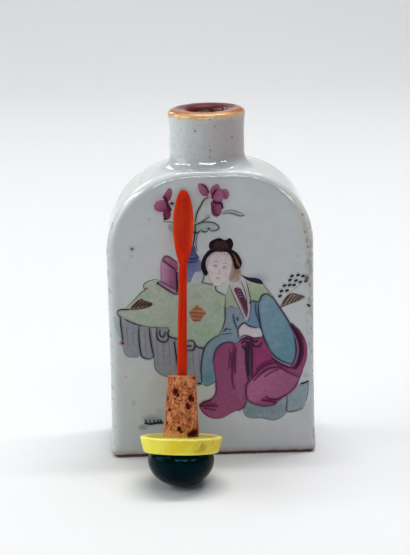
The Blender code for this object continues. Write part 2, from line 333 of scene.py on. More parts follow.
# %% Slab
class Slab:
    """A rounded slab's skin: two panels, and a tape that runs round between them."""

    def __init__(self, inset, floor, corner, depth, rounding, foot_rounding, spacing, top=None):
        self.inset, self.depth = inset, depth
        self.top = top or (lambda x: np.full(np.shape(x), rounding))
        self.ring = slab_outline(inset, floor, corner, spacing)
        rise = np.minimum(1.0, (self.ring[:, 1] - floor) / (2 * foot_corner))
        self.round = foot_rounding + (rounding - foot_rounding) * rise
        self.round = np.where(self.ring[:, 1] > body_height / 2, self.top(self.ring[:, 0]), self.round)
        steps = np.linalg.norm(np.roll(self.ring[:, :2], -1, axis=0) - self.ring[:, :2], axis=1)
        self.along = np.concatenate([[0.0], np.cumsum(steps)])
        # How much of the rounded edge belongs to the panels: little of it where the neck stands
        near_neck = np.clip((np.abs(self.ring[:, 0]) - 11.0) / 4.0, 0, 1)
        near_neck[self.ring[:, 1] < body_height / 2] = 1.0
        self.share = 0.25 + 0.65 * near_neck * near_neck * (3 - 2 * near_neck)
        self.flat = self.ring[:, :2] - self.ring[:, 2:] * self.round[:, None]

    def over_edge(self, ring, radius, travel):
        """Points on the rounded front edge, travel millimetres out from the flat of the panel."""
        turn = math.pi / 2 - travel / radius
        inset = radius * (1 - np.cos(turn))
        z = ring[:, 1] - ring[:, 3] * inset
        x = flared(ring[:, 0] - ring[:, 2] * inset, z)
        return np.stack([x, -self.depth / 2 + radius * (1 - np.sin(turn)), z], axis=1)

    def panel_border(self):
        """The panel's border laid out flat, and the same points in space."""
        travel = self.share * self.round * math.pi / 2
        laid = self.flat + self.ring[:, 2:] * travel[:, None]
        return laid, self.over_edge(self.ring, self.round, travel)

    def nearest(self, points):
        """For laid-out points: how far out of the flat they are, and what of the outline is nearest."""
        start, end = self.flat, np.roll(self.flat, -1, axis=0)
        run = end - start
        share = ((points[:, None] - start) * run).sum(2) / np.maximum((run * run).sum(1), 1e-12)
        share = np.clip(share, 0, 1)
        gap = np.linalg.norm(points[:, None] - start - share[..., None] * run, axis=2)
        pick = gap.argmin(1)
        rows = np.arange(len(points))
        return pick, share[rows, pick], gap[rows, pick]

    def panel_points(self, points):
        """Laid-out points of the front panel, put in space."""
        x, z = points[:, 0], points[:, 1]
        made = np.stack([flared(x, z), np.full(len(x), -self.depth / 2), z], axis=1)
        outside = ~inside_of(points, self.flat)
        pick, share, gap = self.nearest(points[outside])
        after = (pick + 1) % len(self.ring)
        ring = self.ring[pick] * (1 - share[:, None]) + self.ring[after] * share[:, None]
        radius = self.round[pick] * (1 - share) + self.round[after] * share
        made[outside] = self.over_edge(ring, radius, np.minimum(gap, radius * math.pi / 2))
        return made

    def tape_points(self, points):
        """Points of the tape, given as travel round the outline and travel across it, put in space."""
        index = np.clip(np.searchsorted(self.along, points[:, 0], side="right") - 1, 0, len(self.ring) - 1)
        share = (points[:, 0] - self.along[index]) / (self.along[index + 1] - self.along[index])
        after = (index + 1) % len(self.ring)
        ring = self.ring[index] * (1 - share[:, None]) + self.ring[after] * share[:, None]
        radius = self.round[index] * (1 - share) + self.round[after] * share
        across = np.abs(points[:, 1])
        straight = self.depth / 2 - radius
        turn = np.maximum(0.0, across - straight) / radius
        inset = radius * (1 - np.cos(turn))
        z = ring[:, 1] - ring[:, 3] * inset
        y = np.where(across > straight, straight + radius * np.sin(turn), across) * np.sign(points[:, 1])
        return np.stack([flared(ring[:, 0] - ring[:, 2] * inset, z), y, z], axis=1)

    def tape_edge(self):
        """How far across the tape the panels begin, for each point of the outline."""
        return self.depth / 2 - self.round + self.round * math.pi / 2 * (1 - self.share)


def inside_of(points, ring):
    """Which points lie inside a ring of points."""
    x, y = points[:, 0][:, None], points[:, 1][:, None]
    ax, ay = ring[:, 0], ring[:, 1]
    bx, by = np.roll(ax, -1), np.roll(ay, -1)
    crosses = (ay > y) != (by > y)
    with np.errstate(divide="ignore", invalid="ignore"):
        where = ax + (y - ay) / (by - ay) * (bx - ax)
    return (crosses & (x < where)).sum(1) % 2 == 1


body = Slab(0.0, 0.0, foot_corner, 2 * half_depth, edge_round, foot_edge_round, step, over_top)
hollow = Slab(wall, hollow_floor, inner_round, hollow_depth, inner_round, inner_round, hollow_step)
print("outline", len(body.ring), "points,", round(body.along[-1], 1), "mm round")

# %% [markdown]
# ## One skin over slab, neck and hollow
# On the real bottle all of this is one wall of clay under one glaze. So it is one closed mesh here:
# flat patches are cut into triangles round their holes, rings run up the neck and down the bore, and
# points that meet are merged. A Boolean would leave a hard seam where the glaze flows softly.

# %% Patches
def patch(border, inner_loops, spare, layers=()):
    """Triangles inside a border, round its holes, with the numbers of the layers that cover each."""
    points = [tuple(p) for p in border]
    loops = [list(range(len(points)))]
    for loop in [*inner_loops, *layers]:
        order = list(range(len(points), len(points) + len(loop)))
        # The cutter marks what lies to the left of a loop, so each one runs anticlockwise
        x, y = np.asarray(loop).T
        loops.append(order if (x * np.roll(y, -1) - y * np.roll(x, -1)).sum() > 0 else order[::-1])
        points += [tuple(p) for p in loop]
    points += [tuple(p) for p in spare]
    made, _, faces, kept, _, owners = delaunay_2d_cdt([Vector(p) for p in points], [], loops, 1, 1e-5)
    holes = set(range(1, 1 + len(inner_loops)))
    shown = [(face, sorted(o - 1 - len(inner_loops) for o in owner if o > len(inner_loops)))
             for face, owner in zip(faces, owners) if 0 in owner and not holes & set(owner)]
    origin = np.array([min(k) if k else -1 for k in kept])
    return np.array([tuple(p) for p in made]), origin, [s[0] for s in shown], [s[1] for s in shown]


def squared(border, spacing, margin):
    """Points of a square grid that lie inside a border, clear of its edge."""
    lowest, highest = border.min(0), border.max(0)
    xs = np.arange(lowest[0] + spacing / 2, highest[0], spacing)
    ys = np.arange(lowest[1] + spacing / 2, highest[1], spacing)
    grid = np.stack(np.meshgrid(xs, ys), axis=2).reshape(-1, 2)
    grid = grid[inside_of(grid, border)]
    # Measured a few thousand points at a time, which keeps the table of distances small
    parts = np.array_split(grid, max(1, len(grid) // 2000))
    gap = np.concatenate([np.linalg.norm(part[:, None] - border, axis=2).min(1) for part in parts])
    return grid[gap > margin]


# %% Skin
class Skin:
    """Collects points, faces and the paint at each face's corners, until they become one mesh."""

    def __init__(self):
        self.points, self.faces, self.paint = [], [], []

    def add(self, points, faces, paint=None):
        start = len(self.points)
        self.points += [tuple(p) for p in points]
        self.faces += [tuple(start + i for i in face) for face in faces]
        self.paint += paint or [[(0.0, 0.0, 0.0, 0.0)] * len(face) for face in faces]

    def rings(self, loops):
        """Bands of quads through loops that have the same number of points."""
        count = len(loops[0])
        points = [p for loop in loops for p in loop]
        faces = []
        for low in range(0, (len(loops) - 1) * count, count):
            for i in range(count):
                after = (i + 1) % count
                faces.append((low + i, low + after, low + count + after, low + count + i))
        self.add(points, faces)

    def tape(self, slab, start, end, hole=None, spacing=0.55):
        """The tape between the panels, from one travel round the outline to another."""
        count, length = len(slab.ring), slab.along[-1]
        edge = slab.tape_edge()
        first, last = np.searchsorted(slab.along, [start % length, end % length])
        index = [i % count for i in range(first, last + (count if last < first else 0) + 1)]
        travel = np.array([slab.along[i] for i in index])
        if np.any(np.diff(travel) < 0):
            # It passes the outline's first point, so what comes before that counts as negative
            travel[: int(np.argmax(np.diff(travel, prepend=travel[0]) < 0))] -= length
        near = np.stack([travel, -edge[index]], axis=1)
        far = np.stack([travel, edge[index]], axis=1)
        halves = edge[index[-1]], edge[index[0]]
        last_side, first_side = [np.linspace(-e, e, round(2 * e / spacing) + 1)[1:-1] for e in halves]
        last_side = [(travel[-1], y) for y in last_side]
        first_side = [(travel[0], y) for y in first_side[::-1]]
        border = np.concatenate([near, last_side, far[::-1], first_side])
        spare = squared(border, spacing, spacing * 0.45)
        if hole is not None:
            spare = spare[~inside_of(spare, hole)]
            spare = spare[np.linalg.norm(spare[:, None] - hole, axis=2).min(1) > spacing * 0.4]
        laid, _, faces, _ = patch(border, [] if hole is None else [hole], spare)
        laid[:, 0] %= length
        self.add(slab.tape_points(laid), faces)

    def panel(self, slab, facing, spacing, layers=(), tone=None):
        """A front (-1) or back (1) panel, cut along the edges of the layers of paint on it."""
        border, in_space = slab.panel_border()
        spare = squared(border, spacing, spacing * 0.4)
        spare = np.concatenate([spare] + [layer.extra for layer in layers if len(layer.extra)])
        laid, origin, faces, owners = patch(border, [], spare, [layer.outline for layer in layers])
        points = slab.panel_points(laid)
        on_border = (origin >= 0) & (origin < len(border))
        points[on_border] = in_space[origin[on_border]]
        points[:, 1] *= -facing
        paint = None
        if layers:
            paint = [[tone(laid[corner], owner) for corner in face] for face, owner in zip(faces, owners)]
        self.add(points, faces, paint)

    def mesh(self, name):
        """The finished mesh in millimetres, its points merged and its faces turned outwards."""
        raw = bpy.data.meshes.new(name)
        raw.from_pydata(self.points, [], self.faces)
        painting = raw.color_attributes.new("painting", "FLOAT_COLOR", "CORNER")
        tones = [part for face in self.paint for corner in face for part in corner]
        painting.data.foreach_set("color", np.array(tones, np.float32))
        shape = bmesh.new()
        shape.from_mesh(raw)
        bmesh.ops.remove_doubles(shape, verts=shape.verts, dist=2e-3)
        bmesh.ops.recalc_face_normals(shape, faces=shape.faces)
        loose = sum(not edge.is_manifold for edge in shape.edges)
        print(name, len(shape.faces), "faces,", loose, "open edges")
        shape.to_mesh(raw)
        shape.free()
        return raw


# %% Neck
def top_height(x, y):
    """How high the body's upper surface is above a point."""
    edge = over_top(x)
    over = np.clip(np.abs(y) - half_depth + edge, 0, edge)
    inset = edge - np.sqrt(edge ** 2 - over ** 2)
    radius = np.where(x > 0, shoulder_right, shoulder_left)
    sideways = np.maximum(0, np.abs(x) - half_width + radius)
    return body_height - radius + np.sqrt(np.maximum(0, (radius - inset) ** 2 - sideways ** 2))


facets = 160
angles = np.arange(facets) * 2 * math.pi / facets


def circle(radius, z, lift=0.0):
    """A ring of the neck, a little less deep than wide. Lift raises its back right: the rim isn't level."""
    depth = radius * (0.92 + 0.08 * min(1.0, max(0.0, (6.0 - radius) / 2.5)))
    heights = z + lift * np.cos(angles - 1.0)
    return np.stack([radius * np.cos(angles), depth * np.sin(angles), heights], axis=1)


def fillet_ring(share):
    """A ring of the glaze-softened foot of the neck, from 0 on the shoulders to 1 on the neck."""
    x, y = circle(neck_radius, 0.0)[:, :2].T
    room = (half_depth - np.abs(y)) / np.maximum(np.abs(np.sin(angles)), 0.1)
    reach = np.minimum(neck_fillet, 0.4 * room)
    x, y = x + reach * (1 - share) * np.cos(angles), y + reach * (1 - share) * np.sin(angles)
    # At the front and back, where there is little room, the glaze has run into a plain slope
    power = 1.3 + 0.7 * reach / neck_fillet
    height = top_height(x, y) + neck_fillet * (1 - (1 - share ** power) ** (1 / power))
    return np.stack([x, y, height], axis=1)


def laid_on_tape(slab, x, y):
    """Where points of the upper surface lie on the tape."""
    radius = slab.top(x)
    straight = slab.depth / 2 - radius
    turn = np.arcsin(np.clip((np.abs(y) - straight) / radius, 0, 1))
    inset = radius * (1 - np.cos(turn))
    shoulder = np.where(x > 0, shoulder_right, shoulder_left) - slab.inset
    centre = np.sign(x) * (half_width - slab.inset - shoulder)
    base = np.where(np.abs(x) > np.abs(centre), centre + (x - centre) * shoulder / (shoulder - inset), x)
    upper = slab.ring[:, 1] > body_height / 2
    travel = np.interp(-base, -slab.ring[upper, 0], slab.along[:-1][upper])
    across = np.where(np.abs(y) > straight, straight + radius * turn, np.abs(y)) * np.sign(y)
    return np.stack([travel, across], axis=1)


neck_foot = laid_on_tape(body, *fillet_ring(0.0)[:, :2].T)
bore_foot = laid_on_tape(hollow, *circle(mouth_radius, 0.0)[:, :2].T)
print("neck's foot reaches", np.abs(neck_foot[:, 1]).max().round(2), "mm across the tape")

# %% [markdown]
# ## The painter's way
# The picture is enamel: flat washes inside thin dark outlines, laid one over another and fired. It has
# no thickness worth modelling, so it is only colour, but each wash and line is cut into the panel's
# triangles, which keeps its edge crisp at any distance. Each shape is a few points with a smooth curve
# through them. They are set out on squared paper held up before the bottle, one square to each square
# of the camera's view, and carried along the line of sight to the glaze.

# %% Brushes
ink = (24, 15, 28)


def on_panel(squares):
    """Points of the squared paper, laid out on the front panel in millimetres."""
    squares = np.array(squares, float)
    across = (squares[:, 0] - squares_wide / 2) / lens_squares
    rise = (squares_high / 2 - squares[:, 1]) / lens_squares
    rays = np.array(ahead) + np.outer(across, right) + np.outer(rise, up)
    rays *= ((-half_depth - eye.y) / rays[:, 1])[:, None]
    return laid_out(np.stack([rays[:, 0] + eye.x, rays[:, 2] + eye.z], axis=1))


def laid_out(points):
    """Points seen straight from the front, moved to where they lie with the rounded edge rolled flat."""
    points = points.copy()
    points[:, 0] /= flared(1.0, points[:, 1])
    outside = ~inside_of(points, body.flat)
    if outside.any():
        pick, share, gap = body.nearest(points[outside])
        radius = body.round[pick]
        on_flat = body.flat[pick] + share[:, None] * (np.roll(body.flat, -1, axis=0)[pick] - body.flat[pick])
        rolled = radius * np.arcsin(np.minimum(gap / radius, 0.999))
        rolled = np.minimum(rolled, body.share[pick] * radius * math.pi / 2 - 0.08)
        points[outside] = on_flat + (points[outside] - on_flat) * (rolled / np.maximum(gap, 1e-6))[:, None]
    return points


def curve_through(points, closed, spacing=0.22):
    """A smooth curve through points. One that is given twice running makes a corner."""
    points = [tuple(p) for p in points]
    if closed:
        points = [points[-1], *points, points[0], points[1]]
    else:
        points = [points[0], *points, points[-1]]
    made = []
    for a, b, c, d in zip(points, points[1:], points[2:], points[3:]):
        a, b, c, d = map(np.array, (a, b, c, d))
        length = np.linalg.norm(c - b)
        if length < 1e-6:
            continue
        steps = max(1, round(length / spacing))
        t = np.arange(steps)[:, None] / steps
        second, third = 2 * a - 5 * b + 4 * c - d, 3 * b - a - 3 * c + d
        made.append(0.5 * (2 * b + (c - a) * t + second * t ** 2 + third * t ** 3))
    made = np.concatenate(made)
    return made if closed else np.concatenate([made, [points[-1]]])


# %% Paint
class Paint:
    """One shape of one colour, which may drift to a second colour, or fade out from its middle."""

    def __init__(self, outline, colour, drift=None, toward=(0, 1), cover=1.0, fades=False, extra=()):
        self.outline = outline
        self.colour = np.array(enamel(*colour))
        self.second = np.array(enamel(*(drift or colour)))
        self.toward, self.cover, self.fades = np.array(toward, float), cover, fades
        self.middle = (outline.max(0) + outline.min(0)) / 2
        self.half = np.maximum((outline.max(0) - outline.min(0)) / 2, 1e-6)
        self.extra = np.array(extra).reshape(-1, 2)

    def at(self, point):
        """The colour here, and how much of what is below it hides."""
        place = (point - self.middle) / self.half
        share = min(1.0, max(0.0, 0.5 + 0.5 * float(place @ self.toward)))
        share = share * share * (3 - 2 * share)
        cover = self.cover
        if self.fades:
            cover *= max(0.0, 1 - float(place @ place)) ** 1.5
        return self.colour + (self.second - self.colour) * share, cover


# %% Picture
class Picture:
    """The layers of paint on one panel. Laid puts points of its squared paper on the panel."""

    def __init__(self, laid):
        self.laid, self.layers = laid, []

    def tone(self, point, owners):
        """All the layers at one point, laid over one another, with how much of the glaze they hide."""
        colour, hidden = np.zeros(3), 0.0
        for owner in owners:
            above, cover = self.layers[owner].at(point)
            total = cover + hidden * (1 - cover)
            if total > 0:
                colour = (above * cover + colour * hidden * (1 - cover)) / total
            hidden = total
        return (*colour, hidden)

    def add(self, outline, *rest, **more):
        """Adds a layer, drawn back from the panel's border where it would cross it."""
        over = ~inside_of(outline, border)
        pick = np.linalg.norm(outline[over][:, None] - border, axis=2).argmin(1)
        outline[over] = border[pick] - body.ring[pick, 2:] * 0.08
        self.layers.append(Paint(outline, *rest, **more))

    def wash(self, squares, colour, drift=None, toward=(0, 1), cover=1.0):
        """A painted area."""
        self.add(curve_through(self.laid(squares), True), colour, drift, toward, cover)

    def line(self, squares, width=0.2, colour=ink, cover=0.97, ends=0.35):
        """A brush line. Width is in millimetres at its middle, and ends is its share at both ends."""
        if width >= 0.2 and cover > 0.6:
            # The fire lets such a line bleed into the glaze on both sides
            self.line(squares, 0.16 + 2 * width, colour, 0.2, 0.9)
        spine = curve_through(self.laid(squares), False)
        run = np.gradient(spine, axis=0)
        run /= np.maximum(np.linalg.norm(run, axis=1), 1e-9)[:, None]
        side = np.stack([-run[:, 1], run[:, 0]], axis=1)
        share = np.linspace(0, 1, len(spine))[:, None]
        half = 0.6 * width * (ends + (1 - ends) * np.minimum(1, 4 * share * (1 - share)) ** 0.6)
        self.add(np.concatenate([spine + side * half, (spine - side * half)[::-1]]), colour, cover=cover)

    def blot(self, square, size, colour, cover=0.5):
        """A soft spot that fades out all round. Size is half its width and height in millimetres."""
        middle = self.laid([square])[0]
        around = np.arange(20) * math.pi / 10
        ring = np.stack([np.cos(around), np.sin(around)], axis=1) * size
        extra = [middle] + [tuple(middle + p * share) for share in (0.33, 0.66) for p in ring[::2]]
        extra = np.array(extra)
        self.add(middle + ring, colour, cover=cover, fades=True, extra=extra[inside_of(extra, border)])


border = body.panel_border()[0]
front = Picture(on_panel)
wash, line, blot = front.wash, front.line, front.blot

# %% [markdown]
# ## The picture on the front
# A lady sits by a table with a vase of flowers and a box of books on it: a stock subject of such
# bottles, in rose, blue and pale green. What stands behind is painted first.

# %% Flowers and vase
rose, deep_rose, dark_rose = (118, 62, 90), (92, 36, 64), (62, 12, 42)
for square, size in [((162, 205), (2.6, 3.0)), ((217, 195), (3.4, 3.0)), ((203, 190), (1.8, 1.8)),
        ((168, 272), (2.4, 3.4)), ((214, 408), (3.4, 2.2)), ((262, 390), (8.0, 4.5))]:
    blot(square, size, (146, 120, 140), 0.75)
wash([(163, 198), (165, 193), (169, 188), (172, 190), (172, 195), (169, 201)], (108, 48, 76), (128, 72, 100))
wash([(154, 206), (156, 202), (161, 200), (166, 201), (168, 206), (166, 211), (160, 212), (155, 210)],
    (104, 46, 76), (138, 82, 112), (-0.6, 0.5))
wash([(164, 210), (168, 209), (171, 213), (170, 218), (166, 220), (163, 216)], deep_rose)
wash([(163, 197), (167, 198), (169, 204), (172, 210), (168, 212), (166, 204)], (76, 16, 50))
line([(163, 196), (166, 200), (168, 206), (170, 212)], 0.3, dark_rose)
line([(164, 218), (166, 220)], 0.5)
line([(170, 203), (174, 204)], 0.42)
line([(163, 222), (170, 222), (178, 225)], 0.18, (80, 80, 70))
wash([(168, 226), (172, 224), (177, 227), (175, 233), (170, 231)], (124, 122, 112), cover=0.7)
wash([(198, 184), (201, 183), (205, 186), (208, 190), (209, 194), (207, 196), (203, 195), (200, 192),
    (198, 188)], (112, 58, 84), (132, 80, 104), (-1, 0))
line([(202, 184), (206, 187), (209, 193)], 0.32, (62, 22, 48))
line([(199, 190), (203, 195), (208, 196)], 0.16, deep_rose)
wash([(211, 188), (214, 185), (218, 184), (220, 188), (219, 193), (213, 196), (210, 193)], (110, 56, 82),
    (124, 80, 98))
wash([(213, 193), (217, 189), (222, 189), (224, 194), (223, 200), (219, 203), (214, 201), (212, 197)],
    rose, (130, 80, 112), (0.6, -0.6))
wash([(222, 190), (226, 189), (229, 192), (229, 196), (227, 199), (224, 199), (223, 195)], (106, 56, 80),
    (122, 82, 98), (1, 0.5))
wash([(211, 202), (216, 201), (221, 202), (222, 208), (221, 214), (216, 217), (212, 214), (211, 208)],
    (96, 40, 64), (112, 66, 88), (1, 0))
line([(217, 189), (213, 194), (212, 199)], 0.36, (72, 10, 42))
line([(213, 200), (216, 203), (221, 203), (223, 209)], 0.4, (48, 6, 40))
line([(213, 205), (214, 212), (219, 216)], 0.3, (78, 24, 44), 0.7)
line([(209, 197), (204, 200), (200, 207), (197, 213), (195, 223)], 0.28, (44, 36, 38))
wash([(194, 226), (200, 222), (208, 221), (215, 223), (219, 227), (217, 230), (212, 231), (208, 229),
    (205, 232), (201, 230), (197, 232), (193, 232)], (130, 136, 142), (120, 140, 134), (-1, 0), 0.8)
line([(194, 225), (200, 223), (206, 219), (210, 217)], 0.22, (50, 50, 62))
line([(198, 223), (206, 222), (214, 223), (219, 227), (217, 230), (212, 231), (208, 229)], 0.22,
    (52, 50, 58))
line([(208, 227.5), (209, 230)], 0.4, (34, 30, 42))
line([(200, 230), (204, 232), (208, 231)], 0.24, (50, 60, 58))
line([(193, 232), (197, 233), (200, 231)], 0.3)
wash([(223, 211), (230, 210), (236, 211), (241, 213), (245, 215), (240, 216), (233, 214), (227, 213),
    (222, 214)], (136, 134, 136), cover=0.8)
line([(223, 211), (230, 210), (236, 211), (244, 214)], 0.16, (92, 90, 94))
line([(222, 214), (228, 213), (234, 214), (240, 216), (245, 215)], 0.2, (74, 70, 76))
blot((208, 216), (0.9, 0.6), (94, 114, 130), 0.6)
blot((206, 204), (0.7, 0.9), (128, 138, 116), 0.6)
line([(195, 224), (195, 232), (193, 246), (191, 254)], 0.26)
line([(198, 232), (196, 241), (197, 252)], 0.2, (72, 72, 84))
wash([(192, 246), (195, 246), (196, 252), (199, 258), (187, 258), (190, 252)], (62, 62, 98))
wash([(186, 260), (198, 260), (202, 266), (203, 274), (202, 282), (198, 289), (188, 288), (187, 275)],
    (146, 146, 158))
wash([(186, 257), (198, 258), (202, 266), (201, 271), (196, 272), (193, 276), (190, 283), (187, 281)],
    (66, 76, 116), (96, 104, 136), (0.2, -1))
line([(185, 258), (192, 259), (199, 258)], 0.26, (38, 36, 70))
line([(186, 262), (192, 262), (198, 261)], 0.2, (38, 36, 70))
line([(201, 264), (204, 274), (202, 283), (198, 288)], 0.2, (56, 54, 76))
line([(187, 288), (196, 288), (199, 287), (201, 291)], 0.2)
line([(187, 291), (196, 291), (202, 290)], 0.2)
print(len(front.layers), "layers so far")

# %% Table, cloth and books
wash([(118, 314), (126, 308), (136, 298), (142, 292), (147, 288), (144, 288), (144, 284), (149, 281),
    (157, 279), (184, 282), (203, 283), (214, 285), (217, 290), (226, 295), (226, 312), (222, 330),
    (214, 338), (206, 345), (203, 348), (196, 347), (190, 341), (180, 340), (170, 337), (168, 328),
    (150, 327), (136, 324), (126, 320)], (140, 146, 138), (128, 142, 128), (0.5, -0.6))
for square, size, colour in [((146, 295), (1.8, 1.1), (116, 142, 112)),
        ((144, 317), (2.6, 0.9), (112, 146, 132)), ((206, 332), (2.4, 1.6), (118, 142, 112)),
        ((218, 305), (1.2, 2.6), (118, 136, 114)), ((176, 300), (3.0, 1.6), (136, 148, 134)),
        ((197, 296), (1.6, 0.9), (124, 122, 130))]:
    blot(square, size, colour, 0.7)
line([(126, 308), (136, 298), (142, 292), (148, 288), (144, 289), (144, 289), (144, 284), (149, 281),
    (157, 279)], 0.18, (62, 58, 58))
line([(202, 282.5), (209, 284), (215, 285), (216, 290), (220, 293), (226, 296)], 0.2, (56, 52, 56))
line([(117, 313), (120, 310), (130, 309.5)], 0.26)
line([(117, 313), (119, 316), (126, 320), (135, 324), (146, 327), (158, 328), (169, 328)], 0.28,
    (30, 30, 36))
wash([(130, 309), (140, 299), (147, 302), (152, 304), (146, 307), (138, 309)], (104, 84, 80), cover=0.85)
for x in (0, 4, 8, 12, 16):
    line([(131 + x, 308.5 - x * 0.15), (140 + x * 0.72, 300 + x * 0.24)], 0.32, (44, 24, 28))
line([(129, 309.5), (138, 309), (147, 307), (152, 304), (146, 301.5), (140, 299)], 0.2, (48, 28, 30))
wash([(190, 312), (194, 307), (200, 307), (204, 310), (206, 313), (203, 317), (200, 321), (193, 321),
    (190, 316)], (152, 92, 58), (128, 76, 54), (0, -1), 0.85)
for near, far in [((193, 309), (202, 309)), ((189, 312.5), (206, 313.5)), ((191, 316), (203, 317)),
        ((193, 320.5), (201, 320.5)), ((195, 306), (199, 306))]:
    line([near, far], 0.26, (106, 56, 36), 0.8)
wash([(162, 260), (162, 260), (176, 270), (176, 270), (176, 290), (176, 290), (161, 281), (161, 281)],
    (146, 106, 132), (112, 66, 96), (1, -0.5))
wash([(162, 260), (162, 260), (167, 256), (178, 263), (178, 263), (178, 270), (176, 270)], (120, 64, 92),
    (136, 90, 116), (0, 1))
wash([(158, 283), (161, 281), (176, 290), (177, 294), (174, 293.5)], (132, 104, 128))
line([(162, 260), (167, 256), (178, 263)], 0.22, (66, 24, 52))
line([(162, 260), (176, 270)], 0.26, (66, 18, 48))
line([(161, 260), (161, 281)], 0.15, (96, 66, 84))
line([(176, 270), (177, 281), (177, 293)], 0.36, (48, 20, 44))
line([(160, 281), (176, 290)], 0.2, (86, 44, 72))
line([(157, 283), (166, 289), (175, 294), (180, 293)], 0.26)
line([(157, 282.5), (158.5, 284)], 0.5)
for tick in range(8):
    line([(176, 273 + 2.5 * tick), (180, 273 + 2.5 * tick)], 0.2)
wash([(120, 317), (128, 322), (138, 325.5), (157, 328), (169, 329), (170, 337), (180, 340), (190, 341),
    (196, 347), (204, 348), (202, 383), (192, 384), (178, 381), (166, 377), (156, 371), (153, 358),
    (147, 359), (141, 356), (136, 358), (124, 353)], (106, 114, 124), (120, 120, 128), (0.3, 0.5), 0.95)
for x in range(124, 204, 3):
    top = 322 + min(x - 120, 20) * 0.25 + max(0, x - 168) * 0.65
    foot = 352 if x < 138 else 355 if x < 152 else 368 + (x - 152) * 0.32
    line([(x, top + x % 4), (x + 0.4, (top + foot) / 2), (x + 1.2, foot - 2 * (x % 5))], 0.3,
        (90, 96, 106) if x % 2 else (118, 118, 130), 0.55, 0.1)
for stroke in [[(120, 316), (121, 328), (123, 341)], [(139, 326), (139, 340), (141, 354), (144, 358),
        (150, 359), (153, 357)], [(149, 327), (151, 343), (154, 358)],
        [(174, 341), (176, 354), (178, 368)], [(169, 329), (168, 335), (173, 338), (179, 339)],
        [(157, 328), (157, 337), (160, 341), (165, 342), (168, 339), (168, 333)],
        [(160, 329), (160, 335), (163, 337), (165, 334), (165, 331)],
        [(187, 341), (193, 341), (195, 346), (193, 350), (187, 350)], [(187, 346), (192, 346)],
        [(195, 345), (200, 348), (206, 348)], [(197, 383), (202, 384)]]:
    line(stroke, 0.28, (28, 30, 40))
line([(154, 358), (155, 368), (160, 374), (167, 377)], 0.16, (70, 74, 82))
line([(123, 341), (124, 352), (130, 356), (138, 358)], 0.14, (112, 116, 120), 0.7)
wash([(113, 318), (117, 317), (120, 326), (122, 338), (118, 335), (115, 327)], (112, 130, 134), cover=0.5)
blot((122, 343), (0.9, 0.85), (120, 70, 80), 0.6)
blot((122.4, 343), (0.5, 0.5), (66, 8, 22), 1.0)
print(len(front.layers), "layers so far")

# %% The lady's stool
wash([(243, 411), (246, 402), (254, 402), (264, 405), (276, 402), (287, 393), (297, 385), (303, 383),
    (309, 381), (308, 390), (306, 400), (303, 408), (292, 411), (287, 411), (283, 416), (275, 420),
    (262, 418), (250, 418)], (120, 132, 140), (106, 120, 128), (-0.8, -0.3))
for x in range(248, 287, 2):
    line([(x, 404 + x % 3), (x - 0.6, 410), (x - 1, 415 - x % 4)], 0.16, (84, 94, 106), 0.6, 0.2)
for x in range(290, 307, 3):
    line([(x, 394 - (x - 290) * 0.4), (x, 406 - (x - 290) * 0.2)], 0.3, (108, 124, 132), 0.6, 0.1)
line([(243, 411), (246, 416), (252, 418), (262, 418), (272, 420), (280, 418), (287, 412)], 0.17,
    (84, 88, 94))
line([(287, 394), (287, 403), (287, 411), (295, 411), (303, 408)], 0.2, (54, 62, 72))
line([(309, 382), (308, 392), (306, 401)], 0.15, (70, 76, 84))
line([(300, 384), (305, 382.5), (309, 381)], 0.32)
blot((306, 375), (1.0, 0.8), (136, 140, 126), 0.7)
print(len(front.layers), "layers so far")

# %% Skirt
wash([(234, 342), (228, 342), (220, 345), (215, 352), (213, 362), (215, 375), (216, 388), (215, 395),
    (211, 399), (206, 401), (201, 403), (199, 406), (202, 412), (208, 417), (215, 419), (223, 418),
    (232, 413), (239, 410), (244, 406), (247, 401), (253, 403), (260, 405), (270, 406), (277, 403),
    (284, 397), (291, 393), (297, 386), (300, 378), (303, 370), (307, 358), (307, 345), (303, 335),
    (297, 328), (290, 323), (275, 330), (250, 335)], (122, 64, 98), (110, 50, 84), (0.2, 0.7))
wash([(247, 386), (252, 379), (262, 373), (272, 370), (282, 370), (292, 374), (299, 377), (296, 386),
    (288, 393), (278, 398), (264, 397), (256, 402), (248, 398)], (138, 80, 112), (124, 70, 102),
    (1, -0.3))
wash([(252, 351), (258, 346), (264, 348), (270, 354), (275, 361), (268, 365), (259, 369), (253, 375)],
    (122, 46, 92), (116, 44, 82))
wash([(236, 346), (243, 344), (245, 360), (247, 380), (245, 392), (240, 400), (236, 390), (235, 370)],
    (126, 70, 104), cover=0.8)
